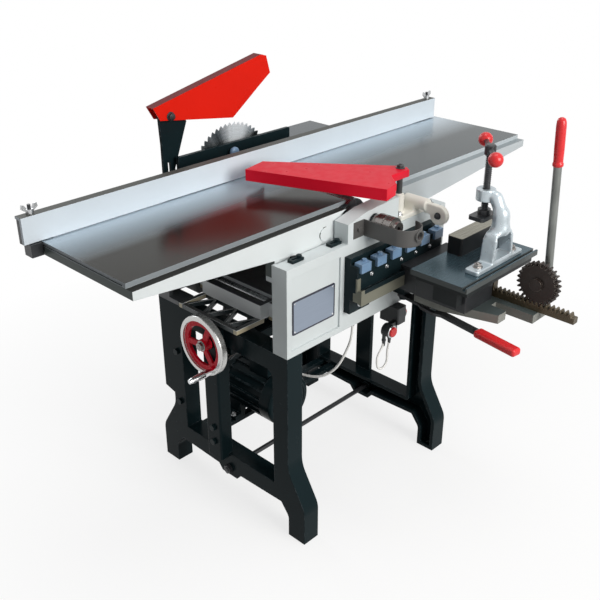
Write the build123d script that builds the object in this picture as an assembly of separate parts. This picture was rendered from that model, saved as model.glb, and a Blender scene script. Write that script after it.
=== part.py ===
from build123d import *
import math
import os

# Driving sizes in millimetres. X runs along the tables, -Y is the operator's side, Z is up, the floor is 0.
TABLE_Z = 860
SPINDLE_Z = 815
KNIFE_R = TABLE_Z - SPINDLE_Z
STAND_X = 310
STAND_TOP = 545
FRAME_DEPTH = 52
ANCHOR_R = 7
LEDGE_Z = 781
LIFT_Y = 28
SHAFT_Z = 502
BED_Z = 620
BED_END = 340
TABLE_HALF = 183
FRONT_Y = -TABLE_HALF - 49
REAR_Y = TABLE_HALF + 86
FOOT_X = STAND_X - 33
FOOT_Y = 30 - FRONT_Y
RABBET = 22
RABBET_DROP = 12
INCLINE = 20
OUTFEED_END = 695
INFEED_END = 787
THROAT = 28
FENCE_Y = 150
GUARD_TOP = 912
PIVOT = (141, -TABLE_HALF - 16)
CHUCK_R = 26
BLADE_R = 150
BLADE_Y = REAR_Y + 28
BLADE_T = 2.6
TEETH = 40
SHAFT_R = 12.5
BEARING_R = 26
BEARING_W = 15
FRONT_BEARING_Y = FRONT_Y + 10
REAR_BEARING_Y = REAR_Y - 25
MOTOR_X = -100
MOTOR_Z = 235
MOTOR_R = 78
SPINDLE_PULLEY_R = 36
MOTOR_PULLEY_R = 60
BELT_Y = REAR_Y - 65
BELT_STEP = 16
BELT_W = 9
ROD_Z = 96
MORTISE_Z = 720
MODULE = 4
PINION_TEETH = 26
PINION_X = 205
PINION_Y = FRONT_Y - 360
PINION_Z = MORTISE_Z - 28
SCREW_X = 187
SCREW_Y = FRONT_Y - 197
RUN = 0.05
FREE = 0.3


# Shapes used by many pieces
def block(x0, x1, y0, y1, z0, z1):
    """A rectangular block between two corners."""
    middle = Pos((x0 + x1) / 2, (y0 + y1) / 2, (z0 + z1) / 2)
    return middle * Box(x1 - x0, y1 - y0, z1 - z0)


def rod_x(x0, x1, y, z, r):
    """A round bar along X."""
    return Pos((x0 + x1) / 2, y, z) * Rot(0, 90, 0) * Cylinder(r, x1 - x0)


def rod_y(y0, y1, x, z, r):
    """A round bar along Y."""
    return Pos(x, (y0 + y1) / 2, z) * Rot(90, 0, 0) * Cylinder(r, y1 - y0)


def rod_z(z0, z1, x, y, r):
    """A round bar along Z."""
    return Pos(x, y, (z0 + z1) / 2) * Cylinder(r, z1 - z0)


def rod_between(start, end, r):
    """A round bar from one point to another."""
    along = Vector(*end) - Vector(*start)
    return extrude(Plane(start, z_dir=along) * Circle(r), along.length)


def plate_xy(points, z0, z1):
    """A flat outline given as (x, y), from z0 up to z1."""
    outline = Polyline(*[(x, y, z0) for x, y in points], close=True)
    return extrude(make_face(outline), z1 - z0, dir=(0, 0, 1))


def plate_xz(points, y0, y1):
    """A flat outline given as (x, z), from y0 to y1."""
    outline = Polyline(*[(x, y0, z) for x, z in points], close=True)
    return extrude(make_face(outline), y1 - y0, dir=(0, 1, 0))


def plate_yz(points, x0, x1):
    """A flat outline given as (y, z), from x0 to x1."""
    outline = Polyline(*[(x0, y, z) for y, z in points], close=True)
    return extrude(make_face(outline), x1 - x0, dir=(1, 0, 0))


def hex_head(place, across, height):
    """A six-sided head standing on the plane that is given."""
    return extrude(place * RegularPolygon(across / 2, 6, major_radius=False), height)


def rounded(face, corners):
    """Round the named corners of a face, each given as (point, radius)."""
    for point, radius in corners:
        face = fillet(face.vertices().sort_by_distance(point)[0], radius)
    return face


# Stand: two cast end frames joined by a tie rod
WEB = 13
RIM = 11
LEG_LOW = REAR_Y - 40
LEG_INNER = TABLE_HALF - 3
FOOT_HALF = 29
FLARE_TOP = 209
FLARE_LOW = 109
SHOULDER_Z = 256
BAR_TOP = 147
BAR_LOW = 92
ROD_BOSS = 30
WINDOW_TOP = 492
COLUMN_HALF = 28.5
COLUMN_PROUD = 27
ROD_R = 7
WHEEL_SHAFT_R = 10


def frame_face(x):
    """The outline of an end frame with its window, in the plane at x."""
    foot_out = FOOT_Y + FOOT_HALF
    foot_in = FOOT_Y - FOOT_HALF
    shoulder = (REAR_Y, SHOULDER_Z)
    right = [(-foot_out, 0), (-foot_out, FLARE_LOW), (FRONT_Y, FLARE_TOP), (FRONT_Y, STAND_TOP)]
    left = [(REAR_Y, STAND_TOP), shoulder, (LEG_LOW, SHOULDER_Z - 10), (LEG_LOW, FLARE_TOP)]
    left += [(foot_out, FLARE_LOW), (foot_out, 0), (foot_in, 0), (foot_in, 62), (foot_in - 28, BAR_LOW + 5)]
    boss_low = ROD_Z - 2 * RIM
    middle = [(ROD_BOSS + 15, BAR_LOW), (ROD_BOSS, boss_low)]
    middle += [(-ROD_BOSS, boss_low), (-ROD_BOSS - 15, BAR_LOW)]
    last = [(28 - foot_in, BAR_LOW + 5), (-foot_in, 62), (-foot_in, 0)]
    outline = right + left + middle + last
    face = make_face(Polyline(*[(x, y, z) for y, z in outline], close=True))
    soft = [((x, FRONT_Y, FLARE_TOP), 90), ((x, LEG_LOW, FLARE_TOP), 60)]
    soft += [((x, -foot_out, FLARE_LOW), 60), ((x, foot_out, FLARE_LOW), 60)]
    soft += [((x, -foot_in, 62), 25), ((x, foot_in, 62), 25)]
    face = rounded(face, soft)
    window = [(-LEG_INNER, BAR_TOP), (LEG_INNER, BAR_TOP), (LEG_INNER, WINDOW_TOP), (-LEG_INNER, WINDOW_TOP)]
    gap = make_face(Polyline(*[(x, y, z) for y, z in window], close=True))
    gap = rounded(gap, [((x, -LEG_INNER, WINDOW_TOP), 25), ((x, LEG_INNER, WINDOW_TOP), 25)])
    return face - gap


def centre_post(front):
    """Upright in the middle of an end frame, from its front face to the back of the web."""
    low = BAR_TOP - RIM
    return block(front, WEB - STAND_X, LIFT_Y - COLUMN_HALF, LIFT_Y + COLUMN_HALF, low, STAND_TOP - 5)


def plain_frame():
    """An end frame at the near end without its centre post: a web with a rim round every edge."""
    face = frame_face(-STAND_X)
    web = extrude(face, WEB, dir=(1, 0, 0))
    rim = extrude(face - offset(face, -RIM), FRAME_DEPTH, dir=(1, 0, 0))
    boss = rod_x(-STAND_X, -STAND_X + 2 * WEB, 0, ROD_Z, 2 * ROD_R)
    frame = web + rim + boss
    frame -= rod_x(-STAND_X - 1, -STAND_X + FRAME_DEPTH, 0, ROD_Z, ROD_R + FREE)
    for side in (-1, 1):
        frame -= rod_z(-1, 2 * RIM, -FOOT_X, side * FOOT_Y, ANCHOR_R)
    return frame


def near_end_frame():
    """Near frame with the proud column that carries the handwheel shaft."""
    front = -STAND_X - COLUMN_PROUD
    column = centre_post(front)
    edges = column.edges().filter_by(Axis.Z).group_by(Axis.X)[0]
    frame = plain_frame() + fillet(edges, 5)
    return frame - rod_x(front - 1, FRAME_DEPTH - STAND_X + 1, LIFT_Y, SHAFT_Z, WHEEL_SHAFT_R + RUN)


def far_end_frame():
    """Far frame, the mirror of the near one, with a flush centre post."""
    return mirror(plain_frame() + centre_post(-STAND_X), Plane.YZ)


def tie_rod():
    """Steel rod between the frames with a nut on each outer face."""
    parts = rod_x(-STAND_X - 14, STAND_X + 14, 0, ROD_Z, ROD_R)
    for side in (-1, 1):
        nut = hex_head(Plane((side * STAND_X, 0, ROD_Z), z_dir=(side, 0, 0)), 3.4 * ROD_R, 11)
        parts += nut
    return parts


def fasteners():
    """Frame bolt heads and the slotted table clamp plates with their bolts."""
    group = []
    column_face = -STAND_X - COLUMN_PROUD
    for z in (188, 235):
        group.append(hex_head(Plane((column_face, LIFT_Y, z), z_dir=(-1, 0, 0)), 17, 7))
    for side in (-1, 1):
        for z in (227, 393):
            group.append(hex_head(Plane((side * STAND_X, REAR_Y - 65, z), z_dir=(side, 0, 0)), 17, 7))
        for x in (122, 255):
            middle = -TABLE_HALF - 25
            clamp = block(side * x - 19, side * x + 19, middle - 9, middle + 9, LEDGE_Z, LEDGE_Z + 7)
            clamp -= block(side * x - 13, side * x + 5, middle - 3, middle + 3, LEDGE_Z - 1, LEDGE_Z + 8)
            clamp += hex_head(Plane((side * x + 11, middle, LEDGE_Z + 7)), 12, 6)
            if side < 0 or x > 225:
                group.append(clamp)
    return Compound(group)


# Side castings, spindle bearings and the ways inside them
WALL = 12
CAST_LIP = 49
PAD_LEN = 50
PAD_INNER = TABLE_HALF - 33
PAD_Z = 748
PAD_UNDER = 726
PAD_XS = (130, 272)
WAY_X = 212
WAY_HALF = 22.5
WAY_TOP = 735
FRONT_WAY = FRONT_Y + 82
REAR_WAY = REAR_Y - 83
KNEE_LEFT = -108


def slope_at(x):
    """Height of the inclined table pads at a distance x from the spindle, away from the cutter block."""
    nearest = min(PAD_XS, key=lambda centre: abs(centre - x))
    return PAD_Z - (x - nearest) * math.tan(math.radians(INCLINE))


def pads(y0, y1):
    """The four inclined pads of one casting, two under each table."""
    group = []
    for side in (-1, 1):
        for centre in PAD_XS:
            inner = centre - PAD_LEN / 2
            outer = centre + PAD_LEN / 2
            top = [(side * inner, slope_at(inner)), (side * outer, slope_at(outer))]
            group.append(plate_xz(top + [(side * outer, PAD_UNDER), (side * inner, PAD_UNDER)], y0, y1))
    return group


def front_side_casting():
    """Panel on the operator's side with its ledge, bearing hump, bed ways and table pads."""
    back = FRONT_Y + WALL
    web = block(-STAND_X, STAND_X, FRONT_Y, back, STAND_TOP, LEDGE_Z)
    web -= block(-STAND_X + 15, KNEE_LEFT - 14, FRONT_Y - 1, FRONT_Y + 5, STAND_TOP + 17, LEDGE_Z - 25)
    hump_top = [(-98, LEDGE_Z + 51), (-25, LEDGE_Z + 67), (57, LEDGE_Z + 72), (98, LEDGE_Z + 72)]
    hump = plate_xz([(-98, LEDGE_Z - WALL)] + hump_top + [(98, LEDGE_Z - WALL)], FRONT_Y, FRONT_Y + 44)
    ledge = block(-STAND_X, STAND_X, FRONT_Y, FRONT_Y + 44, LEDGE_Z - WALL, LEDGE_Z)
    base = block(-STAND_X, STAND_X, FRONT_Y, FRONT_Y + CAST_LIP, STAND_TOP, STAND_TOP + WALL)
    body = web + hump + ledge + base
    for side in (-1, 1):
        outer = side * STAND_X
        inner = side * (STAND_X - WALL)
        body += block(min(outer, inner), max(outer, inner), FRONT_Y, FRONT_Y + CAST_LIP, STAND_TOP, LEDGE_Z)
        low = side * WAY_X - WAY_HALF
        body += block(low, low + 2 * WAY_HALF, FRONT_WAY - WALL, FRONT_WAY, STAND_TOP, WAY_TOP)
        body += block(side * WAY_X - WALL, side * WAY_X + WALL, back, FRONT_WAY - WALL, STAND_TOP, WAY_TOP)
    for pad in pads(back, -PAD_INNER):
        body += pad
    body -= rod_y(FRONT_BEARING_Y, FRONT_Y + 60, 0, SPINDLE_Z, BEARING_R)
    return body - rod_y(FRONT_Y - 1, FRONT_BEARING_Y, 0, SPINDLE_Z, BEARING_R - 6)


def rear_side_casting():
    """Web on the saw side with the rear bearing, open under the pulley for the belts."""
    web_in = REAR_Y - WALL
    body = block(-STAND_X, STAND_X, web_in, REAR_Y, STAND_TOP, LEDGE_Z)
    body += block(-98, 98, REAR_Y - 34, REAR_Y, LEDGE_Z - WALL, SPINDLE_Z + BEARING_R + 10)
    for side in (-1, 1):
        outer = side * STAND_X
        inner = side * (STAND_X - WALL)
        foot = side * (STAND_X - FRAME_DEPTH)
        body += block(min(outer, inner), max(outer, inner), REAR_Y - CAST_LIP, REAR_Y, STAND_TOP, LEDGE_Z)
        body += block(min(outer, foot), max(outer, foot), LEG_INNER, REAR_Y, STAND_TOP, STAND_TOP + WALL)
        ledge = side * 98
        body += block(min(outer, ledge), max(outer, ledge), TABLE_HALF + 5, REAR_Y, LEDGE_Z - WALL, LEDGE_Z)
        low = side * WAY_X - WAY_HALF
        body += block(low, low + 2 * WAY_HALF, REAR_WAY, REAR_WAY + WALL, STAND_TOP + WALL, WAY_TOP)
        body += block(side * WAY_X - WALL, side * WAY_X + WALL, REAR_WAY + WALL, web_in, STAND_TOP, WAY_TOP)
    for pad in pads(PAD_INNER, web_in):
        body += pad
    seat_end = REAR_BEARING_Y + BEARING_W
    body -= rod_y(REAR_Y - 60, seat_end, 0, SPINDLE_Z, BEARING_R)
    return body - rod_y(seat_end, REAR_Y + 1, 0, SPINDLE_Z, BEARING_R - 6)


def spindle_bearings():
    """Two ball bearings, each an outer ring with its shields and a bore for the spindle."""
    group = []
    for y in (FRONT_BEARING_Y, REAR_BEARING_Y):
        ring = rod_y(y, y + BEARING_W, 0, SPINDLE_Z, BEARING_R)
        for face in (y, y + BEARING_W):
            groove = rod_y(face - 1.5, face + 1.5, 0, SPINDLE_Z, BEARING_R - 5)
            ring -= groove - rod_y(face - 2, face + 2, 0, SPINDLE_Z, SHAFT_R + 4)
        group.append(ring - rod_y(y - 1, y + BEARING_W + 1, 0, SPINDLE_Z, SHAFT_R + RUN))
    return Compound(group)


# Planer tables, fence and swinging guard
TOP_T = 14
SKIRT_T = 12
SKIRT_END = 32
SKIRT_THROAT = 96
FENCE_NEAR = -738
FENCE_FAR = 772
FENCE_TOP = 925
FENCE_T = 8
STUD_R = 4
STUD_Y = FENCE_Y + 14
STUD_XS = (-707, 743)


def planer_table(side, end):
    """One planer table; side is -1 for the outfeed table and +1 for the infeed table."""
    under = TABLE_Z - TOP_T
    lip = [(THROAT, TABLE_Z), (end, TABLE_Z), (end, under), (62, under), (THROAT, TABLE_Z - 6)]
    shelf_z = TABLE_Z - RABBET_DROP
    shelf = [(THROAT + 22, shelf_z), (end, shelf_z), (end, shelf_z - 10), (THROAT + 42, shelf_z - 10)]
    skirt = [(70, under + 2), (end, under + 2), (end, TABLE_Z - SKIRT_END), (70, TABLE_Z - SKIRT_THROAT)]
    body = plate_xz([(side * x, z) for x, z in lip], RABBET - TABLE_HALF, TABLE_HALF)
    body += plate_xz([(side * x, z) for x, z in shelf], -TABLE_HALF, RABBET - TABLE_HALF + 8)
    for y in (-TABLE_HALF, TABLE_HALF - SKIRT_T):
        wall = plate_xz([(side * x, min(z, shelf_z - 2)) for x, z in skirt], y, y + SKIRT_T)
        body += wall
    for x in (end - SKIRT_T, end * 0.68, end * 0.38):
        near = side * x
        far = side * (x + SKIRT_T)
        low = TABLE_Z - SKIRT_END
        body += block(min(near, far), max(near, far), -TABLE_HALF, TABLE_HALF, low, under + 1)
    for centre in PAD_XS:
        inner = centre - PAD_LEN / 2
        outer = centre + PAD_LEN / 2
        foot = [(side * inner, slope_at(inner)), (side * outer, slope_at(outer))]
        foot += [(side * outer, under + 1), (side * inner, under + 1)]
        for y in (-TABLE_HALF + 3, PAD_INNER):
            body += plate_xz(foot, y, y + TABLE_HALF - PAD_INNER - 3)
    slot_in = side * (end - 2)
    slot_out = side * (end + 2)
    slot = block(min(slot_in, slot_out), max(slot_in, slot_out), -150, 150, under + 4, under + 9)
    return body - slot


def outfeed_table():
    """Near planer table, on the side where the finished board leaves the cutter block."""
    clamp_boss = rod_y(-TABLE_HALF - 3, -TABLE_HALF + 2, -129, 805, 18)
    return planer_table(-1, OUTFEED_END) + clamp_boss


def infeed_table():
    """Far planer table, lowered along its incline to set the cut."""
    return planer_table(1, INFEED_END)


def fence():
    """Angle-section fence across both tables, clear of them by a small gap."""
    low = TABLE_Z + 2.5
    face = block(FENCE_NEAR, FENCE_FAR, FENCE_Y, FENCE_Y + FENCE_T, low, FENCE_TOP)
    flange = block(FENCE_NEAR, FENCE_FAR, FENCE_Y, FENCE_Y + 25, FENCE_TOP - 6, FENCE_TOP)
    body = face + flange
    for x in STUD_XS:
        body -= rod_z(FENCE_TOP - 10, FENCE_TOP + 1, x, STUD_Y, STUD_R + FREE)
    return body


def fence_brackets():
    """End brackets behind the fence; each stands on its table and has a stud for the wing nut."""
    near_x = STUD_XS[0]
    far_x = STUD_XS[1]
    back = FENCE_Y + FENCE_T
    group = []
    for x, inner in ((near_x, near_x + 45), (far_x, far_x - 45)):
        outer = x + math.copysign(29, x)
        body = block(min(outer, inner), max(outer, inner), back, back + 16, TABLE_Z, FENCE_TOP - 6)
        body += rod_z(FENCE_TOP - 7, FENCE_TOP + 22, x, STUD_Y, STUD_R)
        group.append(body)
    near_edge = -OUTFEED_END - 3
    group[0] += block(near_x - 20, near_edge, back - 14, back + 16, TABLE_Z - 30, TABLE_Z + 1)
    return Compound(group)


def wing_nuts():
    """Wing nuts that clamp the fence down on its end brackets."""
    group = []
    for x in STUD_XS:
        nut = rod_z(FENCE_TOP, FENCE_TOP + 12, x, STUD_Y, 9)
        for side in (-1, 1):
            wing = [(6, 4), (20, 14), (18, 24), (12, 22), (6, 12)]
            shape = [(x + side * out, FENCE_TOP + up) for out, up in wing]
            nut += plate_xz(shape, STUD_Y - 2.5, STUD_Y + 2.5)
        group.append(nut - rod_z(FENCE_TOP - 1, FENCE_TOP + 30, x, STUD_Y, STUD_R))
    return Compound(group)


SHEET = 3
GUARD_SKIRT = 30
POST_R = 8


def fold_wall(start, end, z0, z1):
    """A folded sheet wall along a line, with its thickness to the left of the line."""
    first = Vector(*start)
    last = Vector(*end)
    along = (last - first).normalized()
    inward = Vector(-along.Y, along.X) * SHEET
    corners = [first, last, last + inward, first + inward]
    return plate_xy([(corner.X, corner.Y) for corner in corners], z0, z1)


def planer_guard():
    """Folded sheet guard that swings over the cutter block from a post at the far front corner."""
    post_x, post_y = PIVOT
    tip_far = (-66, 97)
    tip_near = (-144, 80)
    heel_near = (-12, post_y - 79)
    heel_far = (37, post_y - 68)
    outline = [tip_far, tip_near, heel_near, heel_far, (post_x - 64, post_y - 21)]
    outline += [(post_x + 6, post_y - 23), (post_x + 17, post_y - 8), (post_x + 9, post_y + 17)]
    body = plate_xy(outline, GUARD_TOP - SHEET, GUARD_TOP)
    low = GUARD_TOP - GUARD_SKIRT
    for start, end in ((tip_far, tip_near), (tip_near, heel_near), (heel_near, heel_far)):
        body += fold_wall(start, end, low, GUARD_TOP - 1)
    body += rod_z(GUARD_TOP - 16, GUARD_TOP, *PIVOT, POST_R + 6)
    return body - rod_z(GUARD_TOP - 40, GUARD_TOP + 1, *PIVOT, POST_R + RUN)


ARM_X = 185
ARM_R = 17
EYE_Y = FRONT_Y - 68
EYE_Z = SPINDLE_Z - 18
EYE_R = 26


def guard_bracket():
    """White casting on the far ledge: base, guard pivot post and an arm that ends in an eye."""
    inner = -TABLE_HALF - 7
    base = block(115, 225, FRONT_Y + 1, inner, LEDGE_Z, LEDGE_Z + 12)
    base = fillet(base.edges().filter_by(Axis.Z), 8)
    post = rod_z(LEDGE_Z, LEDGE_Z + 62, *PIVOT, POST_R + 6) + rod_z(LEDGE_Z, GUARD_TOP + 4, *PIVOT, POST_R)
    collar = rod_z(GUARD_TOP - 22, GUARD_TOP - 16, *PIVOT, POST_R + 6)
    arm = rod_y(EYE_Y + 38, inner, ARM_X, SPINDLE_Z, ARM_R)
    arm += block(ARM_X - ARM_R, ARM_X + ARM_R, FRONT_Y + 4, inner - 4, LEDGE_Z + 6, SPINDLE_Z)
    neck = block(ARM_X - 8, ARM_X + 8, EYE_Y + 8, EYE_Y + 45, EYE_Z - 2, SPINDLE_Z + 8)
    eye = rod_x(ARM_X - 8, ARM_X + 8, EYE_Y, EYE_Z, EYE_R)
    body = base + post + collar + arm + neck + eye
    return body - rod_x(ARM_X - 9, ARM_X + 9, EYE_Y, EYE_Z, 7)


# Spindle: cutter block, knives, pulley, drill chuck and saw
BLOCK_R = 42
BLOCK_HALF = 165
KNIVES = 3
NOSE_Y = FRONT_Y - 30
SAW_END = BLADE_Y + 33
NOSE_R = 10


def knife_slot(angle, grow):
    """The space of one knife and its wedge in the cutter block, turned to its angle."""
    slot = block(-9, 3, -BLOCK_HALF - 1, BLOCK_HALF + 1, BLOCK_R - 22 - grow, BLOCK_R + 8)
    return Pos(0, 0, SPINDLE_Z) * Rot(0, angle, 0) * slot


def cutter_block():
    """Round cutter block with knife slots, and its shaft from the chuck to the saw."""
    body = rod_y(-BLOCK_HALF, BLOCK_HALF, 0, SPINDLE_Z, BLOCK_R)
    for k in range(KNIVES):
        body -= knife_slot(360 * k / KNIVES, 0)
    step = FRONT_Y - 4
    body += rod_y(step, SAW_END, 0, SPINDLE_Z, SHAFT_R)
    return body + rod_y(NOSE_Y, step, 0, SPINDLE_Z, NOSE_R)


def planer_knives():
    """Three knives, each with the wedge bar that holds it in its slot."""
    group = []
    tip = math.sqrt(KNIFE_R ** 2 - 9)
    for k in range(KNIVES):
        outline = [(-9, BLOCK_R - 22), (3, BLOCK_R - 22), (3, tip), (0, tip - 3)]
        outline += [(0, BLOCK_R - 6), (-9, BLOCK_R - 4)]
        bar = plate_xz(outline, -BLOCK_HALF + 2, BLOCK_HALF - 2)
        group.append(Pos(0, 0, SPINDLE_Z) * Rot(0, 360 * k / KNIVES, 0) * bar)
    return Compound(group)


def grooved_pulley(x, z, pitch_r, bore_r):
    """A two-groove belt pulley on an axis along Y."""
    wheel = rod_y(BELT_Y - BELT_STEP / 2, BELT_Y + 1.5 * BELT_STEP, x, z, pitch_r + 4)
    for k in range(2):
        middle = BELT_Y + k * BELT_STEP
        cut = rod_y(middle - BELT_W / 2 - 0.5, middle + BELT_W / 2 + 0.5, x, z, pitch_r + 5)
        wheel -= cut - rod_y(middle - BELT_W, middle + BELT_W, x, z, pitch_r - 5)
    return wheel - rod_y(BELT_Y - 30, BELT_Y + 50, x, z, bore_r)


def spindle_pulley():
    """Small pulley on the spindle between the cutter block and the rear bearing."""
    return grooved_pulley(0, SPINDLE_Z, SPINDLE_PULLEY_R, SHAFT_R)


CHUCK_BACK = FRONT_Y - 8
CHUCK_FRONT = CHUCK_BACK - 70
BIT_R = 6.5


def drill_chuck():
    """Drill chuck with a knurled sleeve between grooves, jaws and a bore for the bit."""
    steps = [(CHUCK_BACK, CHUCK_R - 6), (CHUCK_BACK - 12, CHUCK_R), (CHUCK_BACK - 34, CHUCK_R - 2)]
    steps += [(CHUCK_BACK - 38, CHUCK_R), (CHUCK_BACK - 58, CHUCK_R - 8), (CHUCK_FRONT, BIT_R + 3)]
    body = None
    for (start, r), (end, _) in zip(steps, steps[1:]):
        ring = rod_y(end, start, 0, SPINDLE_Z, r)
        body = ring if body is None else body + ring
    body -= rod_y(CHUCK_FRONT - 1, CHUCK_FRONT + 40, 0, SPINDLE_Z, BIT_R)
    for k in range(18):
        flute = Pos(0, CHUCK_BACK - 48, CHUCK_R) * Box(3, 14, 2.4)
        body -= Pos(0, 0, SPINDLE_Z) * Rot(0, 20 * k, 0) * flute
    return body - rod_y(NOSE_Y, CHUCK_BACK + 1, 0, SPINDLE_Z, NOSE_R)


def saw_blade():
    """Circular saw blade with hooked teeth."""
    outline = []
    for k in range(TEETH):
        for turn, r in ((0.0, BLADE_R), (0.45, BLADE_R - 3), (0.62, BLADE_R - 9)):
            a = 2 * math.pi * (k + turn) / TEETH
            outline.append((r * math.sin(a), SPINDLE_Z + r * math.cos(a)))
    plate = plate_xz(outline, BLADE_Y - BLADE_T / 2, BLADE_Y + BLADE_T / 2)
    return plate - rod_y(BLADE_Y - 5, BLADE_Y + 5, 0, SPINDLE_Z, SHAFT_R)


FLANGE_R = 30


def saw_clamp():
    """Inner and outer saw flanges and the arbor nut."""
    inside = BLADE_Y - BLADE_T / 2
    outside = BLADE_Y + BLADE_T / 2
    flanges = rod_y(inside - 9, inside, 0, SPINDLE_Z, FLANGE_R)
    flanges += rod_y(outside, outside + 9, 0, SPINDLE_Z, FLANGE_R)
    flanges += rod_y(inside - 16, inside - 9, 0, SPINDLE_Z, 22)
    nut = hex_head(Plane((0, outside + 9, SPINDLE_Z), z_dir=(0, 1, 0)), 38, 16)
    return flanges + nut - rod_y(inside - 20, SAW_END + 5, 0, SPINDLE_Z, SHAFT_R)


# Motor on two rails between the end frames, and the belts
RAIL_TOP = 135
RAIL_T = 13
RAIL_W = 22
MOTOR_BACK = BELT_Y - 14
MOTOR_FRONT = MOTOR_BACK - 220
RAIL_YS = (MOTOR_BACK - 72, MOTOR_BACK - 24)
FOOT_SPREAD = 68
GLAND_Y = MOTOR_FRONT + 40


def motor_rails():
    """Two flat rails under the motor feet, from the web of one end frame to the other."""
    reach = STAND_X - WEB
    group = []
    for y in RAIL_YS:
        group.append(block(-reach, reach, y, y + RAIL_W, RAIL_TOP - RAIL_T, RAIL_TOP))
    return Compound(group)


def motor_body():
    """Finned motor casing with feet, fan cover, end bell and a terminal box on top."""
    core_r = MOTOR_R - 8
    body = rod_y(MOTOR_FRONT + 42, MOTOR_BACK - 14, MOTOR_X, MOTOR_Z, core_r)
    for k in range(18):
        fin = block(-1.8, 1.8, MOTOR_FRONT + 44, MOTOR_BACK - 22, core_r - 2, MOTOR_R)
        body += Pos(MOTOR_X, 0, MOTOR_Z) * Rot(0, 360 * k / 18, 0) * fin
    cover = rod_y(MOTOR_FRONT, MOTOR_FRONT + 46, MOTOR_X, MOTOR_Z, MOTOR_R)
    body += fillet(cover.edges().sort_by(Axis.Y)[0], 10)
    bell = rod_y(MOTOR_BACK - 26, MOTOR_BACK, MOTOR_X, MOTOR_Z, MOTOR_R - 4)
    body += fillet(bell.edges().sort_by(Axis.Y)[-1], 12)
    for side in (-1, 1):
        outer = side * (FOOT_SPREAD + 14)
        up = MOTOR_Z - RAIL_TOP
        leg = [(outer, 0), (outer, 12), (side * (FOOT_SPREAD - 8), 16), (side * (core_r - 8), up - 20)]
        leg += [(side * 30, up - 40), (side * (FOOT_SPREAD - 20), 0)]
        shape = [(MOTOR_X + x, RAIL_TOP + z) for x, z in leg]
        body += plate_xz(shape, RAIL_YS[0] - 4, RAIL_YS[1] + RAIL_W + 2)
    top = MOTOR_Z + MOTOR_R
    box_y = MOTOR_FRONT + 52
    body += block(MOTOR_X - 34, MOTOR_X + 34, box_y, box_y + 76, MOTOR_Z + core_r - 14, top + 32)
    body += rod_y(GLAND_Y, box_y + 1, MOTOR_X + 12, top + 15, 8)
    return body - rod_y(MOTOR_BACK - 30, MOTOR_BACK + 1, MOTOR_X, MOTOR_Z, SHAFT_R + RUN)


def motor_shaft():
    """Shaft of the motor from its rear bearing to the end of the pulley."""
    return rod_y(MOTOR_BACK - 30, BELT_Y + 1.5 * BELT_STEP + 6, MOTOR_X, MOTOR_Z, SHAFT_R)


def motor_pulley():
    """Large pulley on the motor shaft."""
    return grooved_pulley(MOTOR_X, MOTOR_Z, MOTOR_PULLEY_R, SHAFT_R)


def belt_ring(inset):
    """Outline of a belt round both pulleys, inset from the pitch line by the given amount."""
    small = SPINDLE_PULLEY_R - inset
    large = MOTOR_PULLEY_R - inset
    run_x = -MOTOR_X
    run_z = SPINDLE_Z - MOTOR_Z
    span = math.hypot(run_x, run_z)
    lean = math.atan2(run_z, run_x)
    spread = math.acos((large - small) / span)
    ends = []
    for turn in (lean + spread, lean - spread):
        along = Vector(math.cos(turn), 0, math.sin(turn))
        low = Vector(MOTOR_X, 0, MOTOR_Z) + along * large
        high = Vector(0, 0, SPINDLE_Z) + along * small
        ends.append((low, high))
    axis = Vector(math.cos(lean), 0, math.sin(lean))
    bottom = Vector(MOTOR_X, 0, MOTOR_Z) - axis * large
    top = Vector(0, 0, SPINDLE_Z) + axis * small
    (low_left, high_left), (low_right, high_right) = ends
    loop = Line(low_left, high_left) + ThreePointArc(high_left, top, high_right)
    loop += Line(high_right, low_right) + ThreePointArc(low_right, bottom, low_left)
    return make_face(loop.edges())


def v_belts():
    """Two belts between the motor and the spindle, lying in the pulley grooves."""
    ring = belt_ring(-3) - belt_ring(4)
    group = []
    for k in range(2):
        middle = BELT_Y + k * BELT_STEP
        group.append(extrude(Pos(0, middle - BELT_W / 2, 0) * ring, BELT_W, dir=(0, 1, 0)))
    return Compound(group)


# Saw table, rip fence and saw guard
STRIP_Y = REAR_Y + 3
SLOT_Y0 = BLADE_Y - 6
SLOT_Y1 = BLADE_Y + 6
SAW_BACK = BLADE_Y + 123
SAW_LEFT = -190
SAW_RIGHT = 458
SAW_REAR_LEFT = -70
SAW_T = 12
LEG_X0 = 180
LEG_X1 = 300


def saw_table():
    """L-shaped saw table with the blade slot, ribs and the leg that slides on the rear casting."""
    slot_end = LEG_X0 - 15
    outline = [(SAW_LEFT, STRIP_Y), (SAW_RIGHT, STRIP_Y), (SAW_RIGHT, SAW_BACK), (SAW_REAR_LEFT, SAW_BACK)]
    outline += [(SAW_REAR_LEFT, SLOT_Y1), (slot_end, SLOT_Y1), (slot_end, SLOT_Y0), (SAW_LEFT, SLOT_Y0)]
    body = plate_xy(outline, TABLE_Z - SAW_T, TABLE_Z)
    body += block(SAW_REAR_LEFT, SAW_RIGHT, SAW_BACK - 10, SAW_BACK, TABLE_Z - 34, TABLE_Z - 1)
    body += block(SAW_RIGHT - 10, SAW_RIGHT, STRIP_Y, SAW_BACK, TABLE_Z - 34, TABLE_Z - 1)
    body += block(LEG_X0, LEG_X1, REAR_Y, STRIP_Y + 18, TABLE_Z - 220, TABLE_Z - SAW_T + 1)
    for x in (LEG_X0, LEG_X1 - 12):
        rib = [(STRIP_Y, TABLE_Z - 160), (STRIP_Y + 18, TABLE_Z - 160), (SAW_BACK - 10, TABLE_Z - 34)]
        rib += [(SAW_BACK - 10, TABLE_Z - 1), (STRIP_Y, TABLE_Z - 1)]
        body += plate_yz(rib, x, x + 12)
    slot_x = (LEG_X0 + LEG_X1) / 2
    slot = block(slot_x - 7, slot_x + 7, REAR_Y - 1, STRIP_Y + 20, TABLE_Z - 195, TABLE_Z - 100)
    return body - slot


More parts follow.
